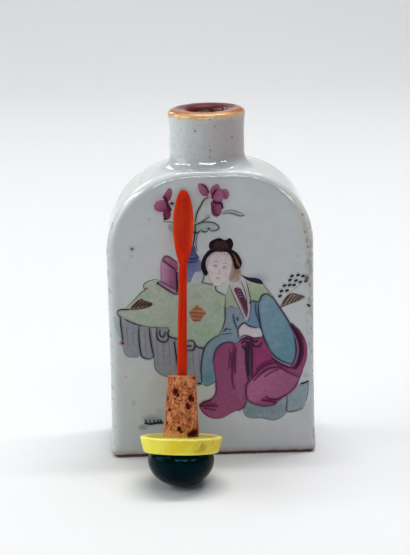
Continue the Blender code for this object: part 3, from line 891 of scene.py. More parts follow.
for stroke, width in [([(234, 343), (233, 358), (232, 375), (233, 385), (235, 389)], 0.26),
        ([(236, 347), (235, 360), (235, 374)], 0.36), ([(230, 347), (229, 362), (228, 372)], 0.18),
        ([(231, 352), (231, 368)], 0.2), ([(213, 364), (215, 376), (216, 390), (214, 396), (209, 400),
        (203, 402), (199, 406)], 0.24), ([(199, 406), (205, 402), (212, 401)], 0.34),
        ([(199, 406), (208, 406), (218, 406)], 0.34), ([(203, 408), (209, 409), (216, 410)], 0.2),
        ([(204, 404), (211, 404), (216, 404)], 0.22), ([(200, 408), (204, 413), (210, 417)], 0.16),
        ([(238, 411), (244, 407), (247, 401)], 0.24), ([(252, 379), (258, 371), (266, 365), (276, 362)],
        0.4), ([(253, 381), (262, 373), (270, 368), (281, 367)], 0.32),
        ([(264, 377), (270, 373), (279, 369)], 0.22), ([(256, 370), (264, 363), (273, 360)], 0.24),
        ([(275, 362), (283, 369), (292, 374), (299, 377)], 0.26),
        ([(247, 400), (246, 392), (247, 384), (252, 379)], 0.32),
        ([(247, 400), (254, 404), (264, 406), (273, 405), (277, 402)], 0.24),
        ([(261, 400), (269, 401), (277, 402.5)], 0.42), ([(265, 396), (270, 399), (278, 399), (287, 394)],
        0.36), ([(287, 394), (295, 386), (300, 377), (303, 370)], 0.18)]:
    line(stroke, width, dark_rose, 0.85)
wash([(245, 346), (249, 341), (252, 342), (253, 360), (252, 377), (250, 382), (247, 372)], (84, 56, 76),
    (66, 34, 58))
for stroke, width in [([(246, 345), (246, 362), (248, 378), (250, 381)], 0.3),
        ([(249, 342), (248, 360), (249, 376)], 0.4), ([(252, 344), (252, 378)], 0.26),
        ([(240, 340), (245, 338), (250, 340)], 0.34), ([(241, 344), (245, 341), (248, 344)], 0.28),
        ([(242, 345), (245, 350)], 0.3), ([(250, 338), (255, 342), (258, 340)], 0.34),
        ([(251, 341), (254, 346), (259, 346), (262, 342)], 0.3), ([(253, 337.5), (259, 338)], 0.26),
        ([(244, 348), (247, 352)], 0.24)]:
    line(stroke, width, (38, 14, 36))
print(len(front.layers), "layers so far")

# %% Coat
wash([(226, 308), (233, 307), (240, 309), (246, 318), (250, 327), (243, 324), (239, 331), (239, 339),
    (236, 343), (229, 342), (220, 345), (215, 352), (213, 364), (215, 381), (208, 386), (203, 384),
    (201, 374), (202, 357), (206, 345), (214, 338), (222, 332), (226, 320)], (104, 118, 132),
    (92, 116, 132), (-0.5, -0.8))
blot((209, 377), (1.5, 1.9), (66, 106, 126), 0.75)
wash([(249, 303), (256, 301), (258, 304), (259, 315), (262, 330), (256, 328), (250, 326), (247, 318)],
    (92, 112, 134), (82, 112, 134), (0, -1))
wash([(262, 295), (268, 295), (274, 299), (280, 308), (289, 322), (294, 335), (296, 348), (294, 359),
    (290, 365), (283, 362), (276, 357), (270, 350), (264, 338), (260, 325), (258, 305), (260, 298)],
    (100, 122, 140), (80, 114, 130), (0.4, -0.9))
blot((272, 312), (2.2, 2.8), (86, 118, 134), 0.6)
blot((284, 350), (2.0, 2.0), (76, 116, 128), 0.6)
blot((276, 345), (1.2, 1.6), (104, 120, 140), 0.6)
wash([(290, 323), (296, 327), (302, 337), (304, 350), (302, 361), (296, 369), (292, 368), (296, 360),
    (298, 348), (296, 337), (292, 329)], (70, 28, 54))
for stroke, width, colour in [([(226, 297), (225, 310), (225, 320), (222, 330), (219, 334)], 0.22, ink),
        ([(219, 335), (211, 340), (205, 347), (202, 358), (201, 370), (202, 383)], 0.26, (34, 34, 50)),
        ([(202, 384), (207, 386), (213, 383), (216, 379)], 0.16, (60, 76, 88)),
        ([(213, 363), (215, 352), (220, 345), (228, 342), (234, 343)], 0.26, (50, 28, 54)),
        ([(226, 308), (231, 306), (240, 309)], 0.22, ink), ([(233, 314), (234, 320), (237, 329)], 0.26,
        (32, 50, 68)), ([(237, 317), (238, 321)], 0.3, (32, 50, 68)),
        ([(223, 332), (227, 329), (232, 330)], 0.18, (32, 50, 68)),
        ([(218, 335), (225, 334), (233, 333)], 0.18, (40, 56, 74)),
        ([(224, 331), (227, 328)], 0.25, (32, 50, 68)), ([(258, 303), (259, 315), (261, 328), (264, 338),
        (270, 350)], 0.3, (28, 34, 50)), ([(255, 303), (256, 312), (259, 322)], 0.22, (40, 52, 72)),
        ([(270, 350), (276, 357), (284, 362), (291, 364)], 0.24, (30, 36, 60)),
        ([(272, 356), (280, 361.5), (291, 366)], 0.16, (132, 114, 138)),
        ([(271, 357), (279, 363), (287, 367), (293, 368)], 0.3, (44, 14, 46)),
        ([(263, 284), (268, 291), (274, 299), (282, 311), (289, 322), (294, 334), (296, 348), (295, 358),
        (291, 365)], 0.26, (28, 28, 48)), ([(292, 330), (297, 342), (298, 352), (296, 361), (293, 367)],
        0.16, (124, 108, 132)), ([(290, 323), (298, 336), (301, 350), (299, 361), (295, 369)], 0.5,
        (44, 6, 36)), ([(290, 323), (299, 330), (304, 340)], 0.2, (70, 40, 56))]:
    line(stroke, width, colour)
print(len(front.layers), "layers so far")

# %% Hands and collar
wash([(239, 327), (242, 324), (246, 324), (249, 326), (255, 328), (260, 329), (262, 336), (256, 338),
    (248, 336), (243, 337), (240, 339), (238, 334)], (168, 162, 168), (158, 154, 160))
line([(239, 338), (238, 330), (241, 325), (245, 323), (249, 326), (257, 328)], 0.24)
line([(239, 339), (243, 336), (248, 336), (254, 338), (262, 337)], 0.24, (44, 22, 42))
wash([(226, 297), (227, 289), (230, 284), (234, 292), (237, 301), (240, 309), (231, 306), (226, 308)],
    (134, 140, 126), (120, 134, 112), (0, -1))
wash([(246, 284), (255, 284), (262, 284), (268, 291), (273, 298), (266, 295), (262, 296), (260, 301),
    (253, 301), (249, 304), (247, 296)], (136, 146, 126), (120, 136, 110), (0, -1))
wash([(229, 284), (234, 282), (241, 280), (245, 286), (244, 292), (235, 292)], (154, 146, 150))
wash([(234, 289), (240, 288), (244, 295), (247, 304), (248, 312), (245, 319), (241, 310), (237, 300)],
    (78, 42, 62), (62, 30, 52))
for stroke, width, colour in [([(231, 286), (236, 297), (241, 308), (246, 320)], 0.28, (156, 142, 148)),
        ([(229, 285), (234, 297), (240, 309), (244, 319)], 0.16, (60, 50, 62)),
        ([(243, 284), (247, 295), (249, 306), (249, 314), (247, 320)], 0.28, (152, 140, 150)),
        ([(246, 280), (249, 292), (251, 304), (250, 314), (248, 322)], 0.18, (56, 48, 62)),
        ([(241, 281), (245, 292), (247, 303), (247, 313)], 0.16, (44, 26, 42)),
        ([(249, 304), (252, 301), (258, 302), (260, 300), (262, 295.5), (267, 294), (273, 298)], 0.24,
        ink)]:
    line(stroke, width, colour)
blot((256, 279), (3.2, 1.5), (112, 100, 120), 0.6)
wash([(240, 274), (247, 277), (256, 278), (261, 280), (263, 284), (255, 283), (247, 280)], (26, 18, 32))

for x, y in [(236, 290), (236.7, 292.6), (237.6, 295.2), (238.6, 297.8)]:
    line([(x, y), (x + 2.2, y - 1.4), (x + 4.4, y - 1.0)], 0.16, (132, 100, 122), 0.6)
print(len(front.layers), "layers so far")

# %% [markdown]
# ## The lady's head
# Faces on these bottles are a painter's formula, and this one follows a drawing book, not a person:
# brows a third of the way down, the nose's foot at two thirds, the mouth a third of what is left.

# %% Head
face_middle, face_half, face_tilt = (219.5, 268.5), (12.0, 17.5), math.radians(10)


def on_face(points):
    """Squares for points of the face, from -1 to 1 across it and down it."""
    made = []
    for x, y in points:
        across, down = x * face_half[0], y * face_half[1]
        made.append((face_middle[0] + across * math.cos(face_tilt) - down * math.sin(face_tilt),
                     face_middle[1] + down * math.cos(face_tilt) + across * math.sin(face_tilt)))
    return made


hair = (10, 0, 8)
for square, size in [((220, 250), (3.4, 3.2)), ((236, 266), (2.2, 3.6)), ((204, 265), (1.8, 2.8))]:
    blot(square, size, (112, 100, 120), 0.6)
wash([(228, 252), (234, 254), (239, 262), (241, 272), (240, 280), (235, 282), (229, 281), (230, 270)],
    (118, 94, 82), (140, 122, 116), (0, -1))
for x in (0, 2, 4, 6):
    line([(232 + x * 0.6, 258), (235 + x * 0.7, 268), (231 + x, 280)], 0.14, (86, 58, 46), 0.7)
wash(on_face([(0, -1.05), (0.55, -0.9), (0.92, -0.45), (0.94, 0.1), (0.72, 0.6), (0.3, 0.95), (0, 1.02),
    (-0.3, 0.95), (-0.72, 0.6), (-0.94, 0.1), (-0.92, -0.45), (-0.55, -0.9)]), (170, 162, 168),
    (166, 154, 158))
for side in (-1, 1):
    blot(on_face([(side * 0.55, 0.32)])[0], (0.7, 0.7), (172, 138, 138), 0.4)
    line(on_face([(side * 0.62, -0.3), (side * 0.38, -0.37), (side * 0.16, -0.31)]), 0.12, (86, 60, 58), 0.8)
    line(on_face([(side * 0.58, -0.09), (side * 0.38, -0.16), (side * 0.2, -0.08)]), 0.15, (60, 36, 40), 0.9)
    line(on_face([(side * 0.52, -0.05), (side * 0.38, -0.02), (side * 0.26, -0.06)]), 0.09, (110, 78, 74),
        0.7)
    line(on_face([(side * 0.44, -0.1), (side * 0.34, -0.06)]), 0.14, (50, 30, 36), 0.9)
line(on_face([(0.02, -0.05), (0.05, 0.15), (0.1, 0.3), (0.0, 0.34), (-0.1, 0.31)]), 0.1, (150, 100, 92), 0.8)
line(on_face([(-0.22, 0.56), (-0.08, 0.54), (0, 0.56), (0.08, 0.54), (0.22, 0.56)]), 0.16, (140, 62, 62),
    0.85)
line(on_face([(-0.12, 0.63), (0, 0.65), (0.12, 0.63)]), 0.1, (156, 92, 88), 0.7)
line(on_face([(-0.9, 0.2), (-0.7, 0.62), (-0.3, 0.96), (0, 1.02), (0.3, 0.96), (0.7, 0.62)]), 0.12,
    (140, 96, 92), 0.8)
wash([(211, 249), (206, 253), (202, 260), (201, 267), (203, 273), (206, 276), (208, 273), (206, 267),
    (206, 261), (209, 256), (215, 252), (226, 252), (231, 256), (233, 262), (235, 269), (240, 268),
    (242, 263), (240, 257), (236, 252), (230, 249), (220, 248)], hair)
wash([(209, 247), (210, 242), (215, 239), (220, 238), (225, 240), (230, 238), (233, 242), (233, 246),
    (230, 251), (221, 252), (212, 251)], hair)
for x in range(7):
    line([(213 + 2.6 * x, 250), (215 + 2.0 * x, 245), (217 + 1.2 * x, 241)], 0.13, (96, 56, 52), 0.5, 0.1)
    line([(210 + 2.9 * x, 257 - 3 * math.sin(x * math.pi / 6)),
        (211 + 2.8 * x, 253 - 3 * math.sin(x * math.pi / 6))], 0.3, (88, 74, 82), 0.4, 0.1)
for x in range(4):
    line([(233 + x, 253 + 2 * x), (236 + x * 1.2, 259 + 2 * x), (237 + x, 265 + x)], 0.16, (112, 70, 48),
        0.75, 0.2)
print(len(front.layers), "layers so far")

# %% Small things around her
for x, y in [(292, 276), (298, 275), (303, 276), (307, 278), (290, 280), (296, 280.5), (300.5, 282),
        (306, 281), (284.5, 285.5), (289.5, 285), (294, 285), (281.5, 291), (287, 290.5), (280, 296)]:
    line([(x - 2, y + 0.9), (x, y), (x + 2, y - 0.8)], 0.44, (24, 16, 20))
blot((307, 278), (0.7, 1.2), (92, 78, 66), 0.8)
line([(289, 293), (297, 287), (303, 280)], 0.14, (110, 108, 98), 0.8)
wash([(281, 307), (285, 299), (291, 294), (299, 295), (305, 298), (298, 301), (289, 304)], (124, 106, 94),
    cover=0.85)
for x in (0, 4, 8, 12, 16):
    line([(283 + x * 0.9, 306 - x * 0.3), (286 + x, 300 - x * 0.2), (290 + x * 0.9, 294.5 + x * 0.1)],
        0.24, (58, 38, 36))
line([(280, 308), (285, 299), (291, 294), (299, 295), (305, 297)], 0.2, (52, 40, 44))
line([(280, 308), (289, 304), (298, 301)], 0.16, (76, 60, 56))
line([(307, 304), (309, 306), (311, 307)], 0.34)
for x in (147, 151, 155, 159, 162):
    line([(x, 423), (x - 1, 421), (x - 2.4, 419)], 0.34, (20, 12, 30))
line([(144, 423), (150, 424), (157, 423), (164, 423)], 0.42, (20, 12, 30))
blot((153, 418), (3.0, 1.0), (104, 120, 126), 0.75)
blot((143, 427.5), (1.4, 0.9), (88, 112, 118), 0.8)
blot((160, 412), (1.2, 1.2), (120, 130, 134), 0.4)
blot((132, 249), (1.0, 0.9), (132, 116, 108), 0.55)
blot((132, 249), (0.42, 0.4), (26, 14, 12), 1.0)
for square, size in [((131, 256), 0.5), ((149, 219), 0.5), ((160, 290), 0.5), ((134, 403), 0.8),
        ((111, 388), 0.6), ((109, 292), 0.6), ((112, 228), 0.5), ((311, 255), 0.8), ((310, 270), 0.9),
        ((311, 312), 0.8), ((310, 345), 0.6)]:
    blot(square, (size, size), (128, 122, 116), 0.5)
line([(284, 190), (293, 197), (300, 207), (303, 222), (305, 240)], 1.3, (168, 162, 146), 0.35)
line([(304, 222), (309, 248), (311, 285), (313, 320), (314, 365)], 1.1, (142, 130, 120), 0.3)
for square, size in [((308, 262), 0.7), ((310, 285), 0.6), ((309, 300), 0.7), ((307, 240), 0.6),
        ((312, 352), 0.6), ((313, 385), 0.5), ((314, 432), 0.8)]:
    blot(square, (size * 0.8, size * 1.3), (112, 98, 88), 0.6)
for x, y, size in [(112.5, 225, 0.3), (110, 293, 0.24), (109.5, 311, 0.24), (110, 334, 0.26),
        (111, 366, 0.22), (111.5, 388, 0.26), (126, 377, 0.2), (302.6, 215, 0.34), (305, 232, 0.3),
        (308, 247, 0.34), (298, 256, 0.22), (310, 306, 0.34), (312, 330, 0.26), (313, 372, 0.26)]:
    blot((x, y), (size, size), (58, 44, 40), 0.85)
print(len(front.layers), "layers of paint,", sum(len(layer.outline) for layer in front.layers), "points")

# %% [markdown]
# ## The picture on the back
# The back is out of sight in the picture. It has what often stands there: a flowering branch
# beside a rock, in the same enamels and plainer than the front.

# %% Back
back = Picture(lambda points: laid_out(np.array(points, float)))


def about(x, z, size, turn, spots):
    """Points given along and across a stroke, in units of size, set at x, z and turned."""
    made = []
    for a, b in spots:
        along, upwards = a * math.cos(turn) - b * math.sin(turn), a * math.sin(turn) + b * math.cos(turn)
        made.append((x + size * along, z + size * upwards))
    return made


def blossom(x, z, size, turn):
    for k in range(5):
        angle = turn + k * math.tau / 5
        petal = about(x, z, size, angle, [(0.15, -0.1), (0.6, -0.42), (0.98, -0.3), (0.98, 0.3),
            (0.6, 0.42), (0.15, 0.1)])
        back.wash(petal, (110, 50, 80), (140, 88, 114), (math.cos(angle), math.sin(angle)))
        back.line(about(x, z, size, angle, [(0.2, 0), (0.75, 0.05)]), 0.16, (76, 20, 50), 0.7)
    back.blot((x, z), (0.3 * size, 0.3 * size), (168, 150, 92), 0.95)


def leaf(x, z, size, turn):
    back.wash(about(x, z, size, turn, [(0, 0), (0.35, 0.24), (0.75, 0.18), (1.05, -0.04), (0.7, -0.2),
        (0.3, -0.16)]), (132, 146, 124), (104, 128, 112), (0, -1))
    back.line(about(x, z, size, turn, [(0, 0), (0.5, 0.03), (1.0, -0.03)]), 0.16, (56, 70, 62), 0.8)
    back.line(about(x, z, size, turn, [(0, 0), (0.35, 0.24), (0.75, 0.18), (1.05, -0.04)]), 0.12,
        (50, 56, 56), 0.8)


back.wash([(5, 5), (3, 10), (5, 14), (8, 16), (11, 14), (13, 16), (16, 12), (16, 7), (17, 5), (10, 4)],
    (104, 118, 132), (124, 134, 128), (0, 1))
for stroke in [[(5, 5), (3, 10), (5, 14), (8, 16), (11, 14), (13, 16), (16, 12), (16, 7)],
        [(8, 6), (7, 10), (9, 13)], [(13, 6), (12, 10), (13, 13)], [(3, 5), (9, 4), (17, 5)]]:
    back.line(stroke, 0.24, (44, 50, 62))
for x in range(-12, 4, 3):
    back.line([(x, 5 - x * 0.05), (x + 0.8, 6.2), (x + 2.0, 7 + x % 2)], 0.22, (62, 84, 78), 0.85)
for stroke, width in [([(7, 13), (5, 19), (1, 25), (0, 31), (3, 38), (2, 45)], 0.75),
        ([(1, 25), (-4, 29), (-7, 35), (-11, 38)], 0.5), ([(0.6, 33), (5, 35), (9, 40)], 0.4),
        ([(2.8, 40), (-2, 44), (-4, 48)], 0.34), ([(4, 21), (9, 24), (12, 29)], 0.4)]:
    back.line(stroke, width, (66, 48, 46), 1.0)
for x, z, size, turn in [(-4, 30, 4.2, 3.6), (-8, 36, 3.8, 1.4), (3, 37, 3.8, 0.2), (7, 23, 3.8, -0.5),
        (2, 44, 3.4, 0.9), (0.5, 27, 3.2, -0.6), (10, 26, 3.0, 1.0), (-2, 44, 3.2, 3.4)]:
    leaf(x, z, size, turn)
for x, z, size, turn in [(-12, 39, 3.3, 0.3), (9.6, 42, 3.6, 0.8), (-5, 49.6, 2.6, 0.1),
        (12.6, 30.5, 2.8, 0.5), (2, 47.6, 2.4, 1.0), (-6, 33, 2.2, 0.7)]:
    blossom(x, z, size, turn)
print(len(back.layers), "layers of paint on the back")

# %% The bottle's mesh
skin = Skin()
skin.panel(body, -1, 0.45, front.layers, front.tone)
skin.panel(body, 1, 0.8, back.layers, back.tone)
# The tape is made in an upper and a lower part, which meet halfway up the sides
halfway = 30
sides = body.along[:-1][np.abs(body.ring[:, 1] - halfway) < step * 0.6]
mid_right, mid_left = sides[0], sides[-1]
skin.tape(body, mid_right, mid_left, neck_foot)

# The recess under the foot: two half circles joined by straight runs
recess_x, recess_y, recess_spacing = 18.1, 6.2, 0.8
ends = np.arange(33) * math.pi / 32 - math.pi / 2
right_end = np.stack([recess_x - recess_y + recess_y * np.cos(ends), recess_y * np.sin(ends)], axis=1)
left_end = np.stack([recess_y - recess_x - recess_y * np.cos(ends), -recess_y * np.sin(ends)], axis=1)
bends = np.concatenate([right_end, left_end])
runs = []
for near, far in zip(bends, np.roll(bends, -1, axis=0)):
    steps = max(1, round(float(np.linalg.norm(far - near)) / recess_spacing))
    runs.append(near + (far - near) * np.arange(steps)[:, None] / steps)
stadium = np.concatenate(runs)
on_foot = np.stack([stadium[:, 0] / float(flared(1.0, 0.0)), stadium[:, 1]], axis=1)
skin.tape(body, mid_left, mid_right, on_foot)
print("recess", len(stadium), "points round")

# %% Rings up the neck and down the bore
lip_lift = 0.15
lip_funnel = [(5.7, 69.99), (5.0, 69.95), (4.4, 69.85), (4.05, 69.68), (3.8, 69.42), (3.6, 69.05),
              (3.46, 68.6), (3.41, 68.1), (3.4, 67.5)]
rings = [body.tape_points(neck_foot)] + [fillet_ring(i / 12) for i in range(1, 13)]
rings += [circle(neck_radius, z) for z in (62.4, 63.4, 64.4)]
rings += [circle(neck_radius + 0.25 * s * s, 64.4 + 4.5 * s, lip_lift * s) for s in (0.25, 0.5, 0.75)]
turns = [i * math.pi / 20 for i in range(11)]
rings += [circle(6.3 + 1.4 * math.cos(t), 68.9 + 1.1 * math.sin(t), lip_lift) for t in turns]
rings += [circle(radius, z, lip_lift * (radius - mouth_radius) / 3.3) for radius, z in lip_funnel]
rings += [circle(mouth_radius, z) for z in np.arange(66.9, 56.7, -1.2)]
skin.rings(rings)
skin.rings([rings[-1], hollow.tape_points(bore_foot)])
print(len(rings), "rings")

# %% The foot's recess and the hollow
# How high each ring of the recess is, and how far it is drawn in
foot_rings = [(0.0, 1.0), (0.08, 1.0), (0.2, 1.0), (0.5, 0.997), (0.82, 0.993), (0.96, 0.985), (1.0, 0.97)]
skin.rings([np.column_stack([stadium * draw, np.full(len(stadium), lift)]) for lift, draw in foot_rings])
ceiling = stadium * foot_rings[-1][1]
laid, _, faces, _ = patch(ceiling, [], squared(ceiling, 1.5, 0.7))
skin.add(np.column_stack([laid, np.full(len(laid), 1.0)]), faces)

sides = hollow.along[:-1][np.abs(hollow.ring[:, 1] - halfway) < 0.8]
skin.panel(hollow, -1, 2.5)
skin.panel(hollow, 1, 2.5)
skin.tape(hollow, sides[0], sides[-1], bore_foot, 1.2)
skin.tape(hollow, sides[-1], sides[0], None, 1.2)
bottle_mesh = skin.mesh("porcelain_bottle")


# %% Place a piece
def settle(mesh, name, material, place, node, sharp=50):
    """Keeps each point's own place in millimetres as local, then puts the mesh where its CAD node is."""
    local = mesh.attributes.get("local") or mesh.attributes.new("local", "FLOAT_VECTOR", "POINT")
    spots = np.empty(len(mesh.vertices) * 3, np.float32)
    mesh.vertices.foreach_get("co", spots)
    local.data.foreach_set("vector", spots)
    mesh.transform(Matrix.Scale(MM, 4) @ place)
    mesh.shade_smooth()
    mesh.set_sharp_from_angle(angle=math.radians(sharp))
    mesh.materials.clear()
    mesh.materials.append(material)
    made = bpy.data.objects.new(name, mesh)
    bpy.context.scene.collection.objects.link(made)
    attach(made, "root")
    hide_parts(node)
    lowest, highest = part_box(node)
    corners = np.array([v.co for v in mesh.vertices])
    print(name, len(mesh.polygons), "faces; against its node, mm:",
          ((corners.min(0) - lowest) / MM).round(2), ((corners.max(0) - highest) / MM).round(2))
    return made


# %% [markdown]
# ## Glaze
# The glaze is thick and faintly blue, with clouds, freckles and pinholes. Where it is thin it shows
# iron brown: along the lip, down the mouth and where the foot was wiped. Some light and shade is
# painted into it as well: lighter upper and left edges, a lighter left and a darker right side to the
# neck, a lighter gold front to the lip, shade inside the mouth and along the foot's floor line.
# Enamel shines less than glaze.

# %% Glaze
porcelain, tree, shader, place = finish("painted_porcelain")
painted = Wire.node(tree, "ShaderNodeAttribute", {"attribute_name": "painting"}, output="Color")
hidden = Wire.node(tree, "ShaderNodeAttribute", {"attribute_name": "painting"}, output="Alpha")
x, y, z = place.part("X"), place.part("Y"), place.part("Z")
from_axis = (x * x + y * y) ** 0.5
cloud, drift, freckle = place.noise(0.07, 3), place.noise(0.35, 4), place.noise(1.9, 3)
glaze = cloud.ramp(0.35, 0.65).blend(flat((0.560, 0.605, 0.606)), flat((0.578, 0.594, 0.612)))
on_neck = z.ramp(59.5, 61.5)
# Painted light: the rounded edges are lighter where light falls on them, over the upper half and down the
# left side.
high_or_left = z.ramp(38.0, 52.0).maths("MAXIMUM", x.ramp(6.0, -8.0) * 0.3)
lit_edge_band = y.maths("ABSOLUTE").ramp(8.97, 8.4) * (1 - on_neck) * high_or_left
glaze = overlay(glaze, lit_edge_band, 0.69, 0.73, 0.715)
# The right side of the neck is pinker and darker: a pinkish glaze, with painted shade.
glaze = overlay(glaze, on_neck * x.ramp(-4.5, 5.5) * 0.9, 0.455, 0.385, 0.385)
# Painted light: the left side of the neck is lighter, where light falls on it.
glaze = overlay(glaze, on_neck * x.ramp(-3.0, -6.8) * 0.7, 0.68, 0.74, 0.71)
# Darker round the neck's foot.
neck_foot_darker = z.ramp(61.6, 59.8) * from_axis.ramp(10.5, 8.2)
glaze = overlay(glaze, neck_foot_darker * 0.35, 0.40, 0.43, 0.44)
glaze = overlay(glaze, freckle.ramp(0.54, 0.70) * (on_neck * 0.3 + 0.08), 0.33, 0.32, 0.33)

# %% Iron brown at the lip and the foot, with painted light and shade
ragged = place.noise(0.55, 4)
in_front = y.ramp(4.5, 0.5)
cream = (z + ragged * 2.0).ramp(68.9, 70.4) * in_front * 0.85
glaze = overlay(glaze, cream, 0.70, 0.62, 0.46)
# The lip's iron brown is painted lighter and golder on its front, where light falls on it.
gold_lip_and_front_light = (z - x * 0.02 + ragged * 1.6).ramp(69.45, 70.3) * in_front * 0.95
glaze = overlay(glaze, gold_lip_and_front_light, 0.68, 0.33, 0.09)
inward = from_axis - y * 0.4 + ragged * 1.3
rust = inward.ramp(9.5, 8.8) * z.ramp(69.3, 69.8)
glaze = overlay(glaze, rust, 0.38, 0.115, 0.035)
# Inside the mouth and on the back of the lip's dish the brown turns dark maroon: partly the glaze's colour,
# partly painted shade.
in_mouth = from_axis.ramp(6.2, 5.8).maths("MAXIMUM", z.ramp(68.6, 69.3))
maroon_and_mouth_shade = inward.ramp(6.5, 5.8) * z.ramp(60.5, 62.0) * in_mouth
glaze = overlay(glaze, maroon_and_mouth_shade, 0.13, 0.024, 0.026)
glaze = overlay(glaze, (z + ragged * 1.6).ramp(2.9, 0.9) * 0.88, 0.36, 0.245, 0.225)
# The foot's bare brown edge, painted darker along the floor line as its shade.
glaze = overlay(glaze, (z + ragged * 0.3).ramp(1.0, 0.7), 0.085, 0.035, 0.03)

# %% Pinholes and worn edges
for spot, size in [((-2.5, -6.5, 66.5), 0.3), ((1.4, -6.8, 67.4), 0.22), ((4.8, -5.3, 64.9), 0.3),
        ((0.5, -6.9, 68.8), 0.3), ((0.4, -6.9, 62.7), 0.24), ((0.3, -6.9, 61.5), 0.24),
        ((-4.6, 5.5, 65.2), 0.3), ((5.2, 5.0, 63.0), 0.26), ((0.9, 6.8, 67.0), 0.24),
        ((-13.2, 0.8, 56.1), 0.4), ((-13.5, -2.8, 55.9), 0.5), ((-16.9, -3.6, 52.0), 0.5),
        ((-19.6, -4.0, 46.5), 0.4)]:
    glaze = overlay(glaze, place.reach(spot).ramp(size, size * 0.3) * 0.85, 0.10, 0.07, 0.07)
at_edges = x.maths("ABSOLUTE").ramp(19.5, 20.3) * y.maths("ABSOLUTE").ramp(5.0, 7.5)
worn = at_edges * place.noise(0.7, 4).ramp(0.52, 0.66)
glaze = overlay(glaze, worn * 0.6, 0.36, 0.30, 0.26)
right_edge = x.ramp(18.2, 19.6) * y.ramp(-6.0, -7.6) * z.ramp(50.0, 44.0) * z.ramp(18.0, 34.0)
rubbed = right_edge * place.noise(0.9, 4).ramp(0.48, 0.62)
glaze = overlay(glaze, rubbed * 0.5, 0.32, 0.26, 0.22)

# %% Shine
shade = drift * 0.16 + 0.92
shade = shade - hidden * (place.noise(1.1, 5).ramp(0.35, 0.65) * 0.14 - 0.05)
mottled = shade.more("ShaderNodeCombineColor", None, {0: shade, 1: shade * 0.9 + 0.1, 2: shade * 0.9 + 0.1})
covered = hidden.blend(glaze, painted)
colour = covered.more("ShaderNodeMix", {"data_type": "RGBA", "blend_type": "MULTIPLY"},
    {0: 1.0, 6: covered, 7: mottled}, 2)
ripple = place.noise(0.35, 3) * 0.7 + place.noise(1.6, 2) * 0.3
bumped = roughened(tree, shader, 0.16, 0.0004, ripple)
connect(colour, shader.inputs["Base Color"])
connect(drift * 0.05 + 0.04, shader.inputs["Roughness"])
shader.inputs["Specular IOR Level"].default_value = 0.45
enamelled = Wire.node(tree, "ShaderNodeBsdfPrincipled", None,
    {"Base Color": colour, "Roughness": 0.2, "Specular IOR Level": 0.08, "Normal": bumped})
duller = (hidden * 0.94).maths("MAXIMUM", maroon_and_mouth_shade * 0.85)
both = Wire.node(tree, "ShaderNodeMixShader", None, {0: duller, 1: Wire(shader.outputs[0]), 2: enamelled})
connect(both, tree.nodes["Material Output"].inputs["Surface"])
at_bottle = Matrix.Translation(bottle_axis)
settle(bottle_mesh, "porcelain_bottle", porcelain, at_bottle, "bottle")

# %% [markdown]
# ## The stopper
# Four pieces are glued in a row on one axis: a glass cap, a collar, a cork and a bone spoon. They are
# made standing straight on that axis, with the cap's top at 0, and then leaned as a whole.

# %% Where the stopper leans
lean = Matrix.Rotation(math.radians(2.2), 4, "Y") @ Matrix.Rotation(math.radians(-16.2), 4, "X")
at_stopper = Matrix.Translation((-7.1, -14.7437, 0.2223)) @ lean
spoon_high = 57.6
print("the stopper is", spoon_high, "mm long")

# %% [markdown]
# ## Cap
# The cap is a dome of dark glass, ground round and polished. Its outline follows one rule, a curve
# between a circle and a square, so a tree of nodes turns it from named sizes: a flat grid becomes
# the dome, one side of the grid running from the top down and the other going round.

# %% Geometry trees
def sizes(tree, **values):
    """Adds named inputs with their usual values to a tree, and gives a wire for each."""
    tree.interface.new_socket("Geometry", in_out="INPUT", socket_type="NodeSocketGeometry")
    tree.interface.new_socket("Geometry", in_out="OUTPUT", socket_type="NodeSocketGeometry")
    for name, value in values.items():
        kind = "NodeSocketInt" if isinstance(value, int) else "NodeSocketFloat"
        tree.interface.new_socket(name, in_out="INPUT", socket_type=kind).default_value = value
    entrance = tree.nodes.new("NodeGroupInput")
    return {name: Wire(entrance.outputs[name]) for name in ("Geometry", *values)}


def grown(name, tree, mesh, **values):
    """Runs a tree on a mesh with these sizes, and gives the result as a plain mesh."""
    thing = bpy.data.objects.new(name, mesh)
    bpy.context.scene.collection.objects.link(thing)
    modifier = thing.modifiers.new(name, "NODES")
    modifier.node_group = tree
    for item in tree.interface.items_tree:
        if item.in_out == "INPUT" and item.name in values:
            modifier[item.identifier] = values[item.name]
    bpy.context.view_layer.update()
    made = bpy.data.meshes.new_from_object(thing.evaluated_get(bpy.context.evaluated_depsgraph_get()))
    bpy.data.objects.remove(thing)
    print(name, "grew to", len(made.polygons), "faces with", values)
    return made


def close_tree(tree, geometry, material):
    """Ends a tree: instances made real, the finish set."""
    real = geometry.more("GeometryNodeRealizeInstances", None, {0: geometry})
    dressed = real.more("GeometryNodeSetMaterial", None, {"Geometry": real, "Material": material})
    tree.links.new(dressed.socket, tree.nodes.new("NodeGroupOutput").inputs[0])


# %% Dark glass
dark_glass, tree, shader, place = finish("dark_green_glass")
haze = place.noise(0.3, 3)
streak = place.noise(0.9, 2, (1, 1, 3))
colour = haze.ramp(0.35, 0.7).blend(flat((0.0006, 0.0035, 0.008)), flat((0.0012, 0.008, 0.010)))
colour = overlay(colour, place.part("Z").ramp(4.0, 6.6), 0.0015, 0.009, 0.008)
connect(colour, shader.inputs["Base Color"])
connect(streak * 0.08 + 0.07, shader.inputs["Roughness"])
shader.inputs["Specular IOR Level"].default_value = 0.07
shader.inputs["Specular Tint"].default_value = (0.1, 0.75, 1.0, 1)
scratched = place.noise(0.8, 4)
roughened(tree, shader, 0.12, 0.0003, scratched)

